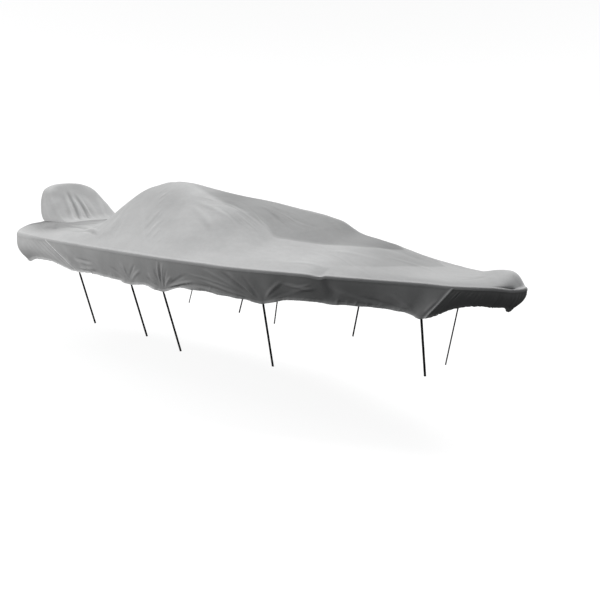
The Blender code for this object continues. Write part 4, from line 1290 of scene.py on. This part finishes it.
# ---------------------------------------------------------------------------------------------
# The bow panel.  A short band round the stem, shirred on elastic so that it draws in under the
# bow.  The gathers run from the lip down to the hem.
SHIRR_PITCH, SHIRR_HEIGHT = 0.034, 0.011
SHIRR_CLEAR, SHIRR_GROW = 0.008, 0.05
ahead = (rail_x == BOW_X) | ((rail_x > BOW_SEAM.x - NEAR) & (np.abs(rail_cell) == RAIL))
around_bow = np.where(ahead)[0]
points, depth, from_hem, _ = hanging(around_bow)
along = run_along(rail[around_bow])
from_seam = np.minimum(along, along[-1] - along)[:, None]
wander = 0.020 * wavering(along, 8.0, 1.0, 3.0) + 0.006 * crinkled(points, (1.0, 1.0, 1.2), 9.0, 71.0)
phase = math.pi * (along[:, None] + wander) / SHIRR_PITCH
uneven = 0.65 + 0.6 * wavering(along, 14.0, 5.0, 1.0)
gathers = (np.abs(np.sin(phase)) ** 0.7 - 0.5) * uneven
to_lip, shown = below_lip(around_bow, depth, SHIRR_CLEAR, SHIRR_GROW)
folds = SHIRR_HEIGHT * gathers * shown
folds *= np.clip((from_seam - SEAM_CLEAR) / SEAM_GROW, SEAM_LEAST, 1)
swell = hem_swell(from_hem, along, 21.0)
marks = {"seam": np.abs(to_lip - LIP_LAP + LIP_SEWN_IN), "fold": folds}
# A darker copy of the same cloth: painted shade on the bow panel, which draws in under the bow.
shaded_bow_cloth = cover_finish("shirred_cloth_painted_shade", (0.18, 0.18, 0.18), (0.30, 0.30, 0.298))
bow_panel = hung("bow_panel_cloth", shaded_bow_cloth, points, along, from_hem, folds, swell, **marks)
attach(bow_panel, "root")
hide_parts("bow_panel")

# ---------------------------------------------------------------------------------------------
# Studio.  A plain pale floor that curves up into a backdrop all round, a soft key light from high
# over the port side, a weaker one from behind the stern, a softbox off the starboard quarter and a
# dim sky that is brightest overhead.
FLOOR_RADIUS, FLOOR_RINGS = 15.0, 4
COVE_RADIUS, COVE_STEPS, COVE_SIDES = 30.0, 24, 96
FLOOR_GREY, FLOOR_GLOW = 0.18, 0.90
SKY_COLOUR, SKY_LOW, SKY_HIGH = (0.96, 0.98, 1.0), 0.066, 0.33
floor_profile = [(FLOOR_RADIUS * k / FLOOR_RINGS, 0.0) for k in range(1, FLOOR_RINGS + 1)]
for k in range(1, COVE_STEPS + 1):
    turned = math.pi / 2 * k / COVE_STEPS
    out, up = COVE_RADIUS * math.sin(turned), COVE_RADIUS * (1 - math.cos(turned))
    floor_profile.append((FLOOR_RADIUS + out, up))
points = [(0.0, 0.0, GROUND)]
for radius, rise in floor_profile:
    for k in range(COVE_SIDES):
        angle = 2 * math.pi * k / COVE_SIDES
        points.append((radius * math.cos(angle), radius * math.sin(angle), rise + GROUND))
faces = [(0, 1 + k, 1 + (k + 1) % COVE_SIDES) for k in range(COVE_SIDES)]
for ring in range(len(floor_profile) - 1):
    start = 1 + ring * COVE_SIDES
    for k in range(COVE_SIDES):
        n = (k + 1) % COVE_SIDES
        faces.append((start + k, start + COVE_SIDES + k, start + COVE_SIDES + n, start + n))
floor_mesh = bpy.data.meshes.new("studio_floor")
floor_mesh.from_pydata(points, [], faces)
floor_mesh.shade_smooth()
floor_finish = bpy.data.materials.new("studio_floor")
floor_finish.use_nodes = True
floor_shader = floor_finish.node_tree.nodes["Principled BSDF"]
floor_shader.inputs["Base Color"].default_value = (FLOOR_GREY, FLOOR_GREY, FLOOR_GREY, 1)
floor_shader.inputs["Roughness"].default_value = 1.0
floor_shader.inputs["Specular IOR Level"].default_value = 0.0
floor_shader.inputs["Emission Color"].default_value = (1.0, 1.0, 1.0, 1)
floor_shader.inputs["Emission Strength"].default_value = FLOOR_GLOW
floor_mesh.materials.append(floor_finish)
studio_floor = placed("studio_floor", floor_mesh)
studio_floor.visible_diffuse = False
studio_floor.visible_glossy = False
studio_floor.visible_shadow = False

Lamp = namedtuple("Lamp", "name towards energy angle")
LAMPS = [Lamp(*row) for row in (
    ("key", (0.0, 0.50, 0.87), 2.65, 30),
    ("rear", (-0.64, 0.0, 0.77), 0.72, 30),
)]
for lamp in LAMPS:
    light = placed(lamp.name, bpy.data.lights.new(lamp.name, "SUN"))
    light.data.energy = lamp.energy
    light.data.angle = math.radians(lamp.angle)
    light.rotation_euler = Vector(lamp.towards).to_track_quat("Z", "Y").to_euler()
SOFTBOX_SIZE, SOFTBOX_POWER = 2.5, 246
SOFTBOX_PLACE, SOFTBOX_AIM = Vector((-3.5, -6.0, 0.5)), Vector((-1.0, -1.0, -1.0))
softbox = placed("softbox", bpy.data.lights.new("softbox", "AREA"))
softbox.data.shape = "DISK"
softbox.data.size = SOFTBOX_SIZE
softbox.data.energy = SOFTBOX_POWER
softbox.location = SOFTBOX_PLACE
softbox.rotation_euler = (SOFTBOX_PLACE - SOFTBOX_AIM).to_track_quat("Z", "Y").to_euler()

world = bpy.data.worlds.new("studio")
bpy.context.scene.world = world
world.use_nodes = True
sky = world.node_tree
direction = wired(sky, "ShaderNodeSeparateXYZ")
sky.links.new(wired(sky, "ShaderNodeTexCoord").outputs["Generated"], direction.inputs["Vector"])
glow = ramp(sky, direction.outputs["Z"], -0.4, 1.0, SKY_LOW, SKY_HIGH)
sky.links.new(glow, sky.nodes["Background"].inputs["Strength"])
sky.nodes["Background"].inputs["Color"].default_value = (*SKY_COLOUR, 1)
bpy.context.scene.view_settings.view_transform = "Standard"
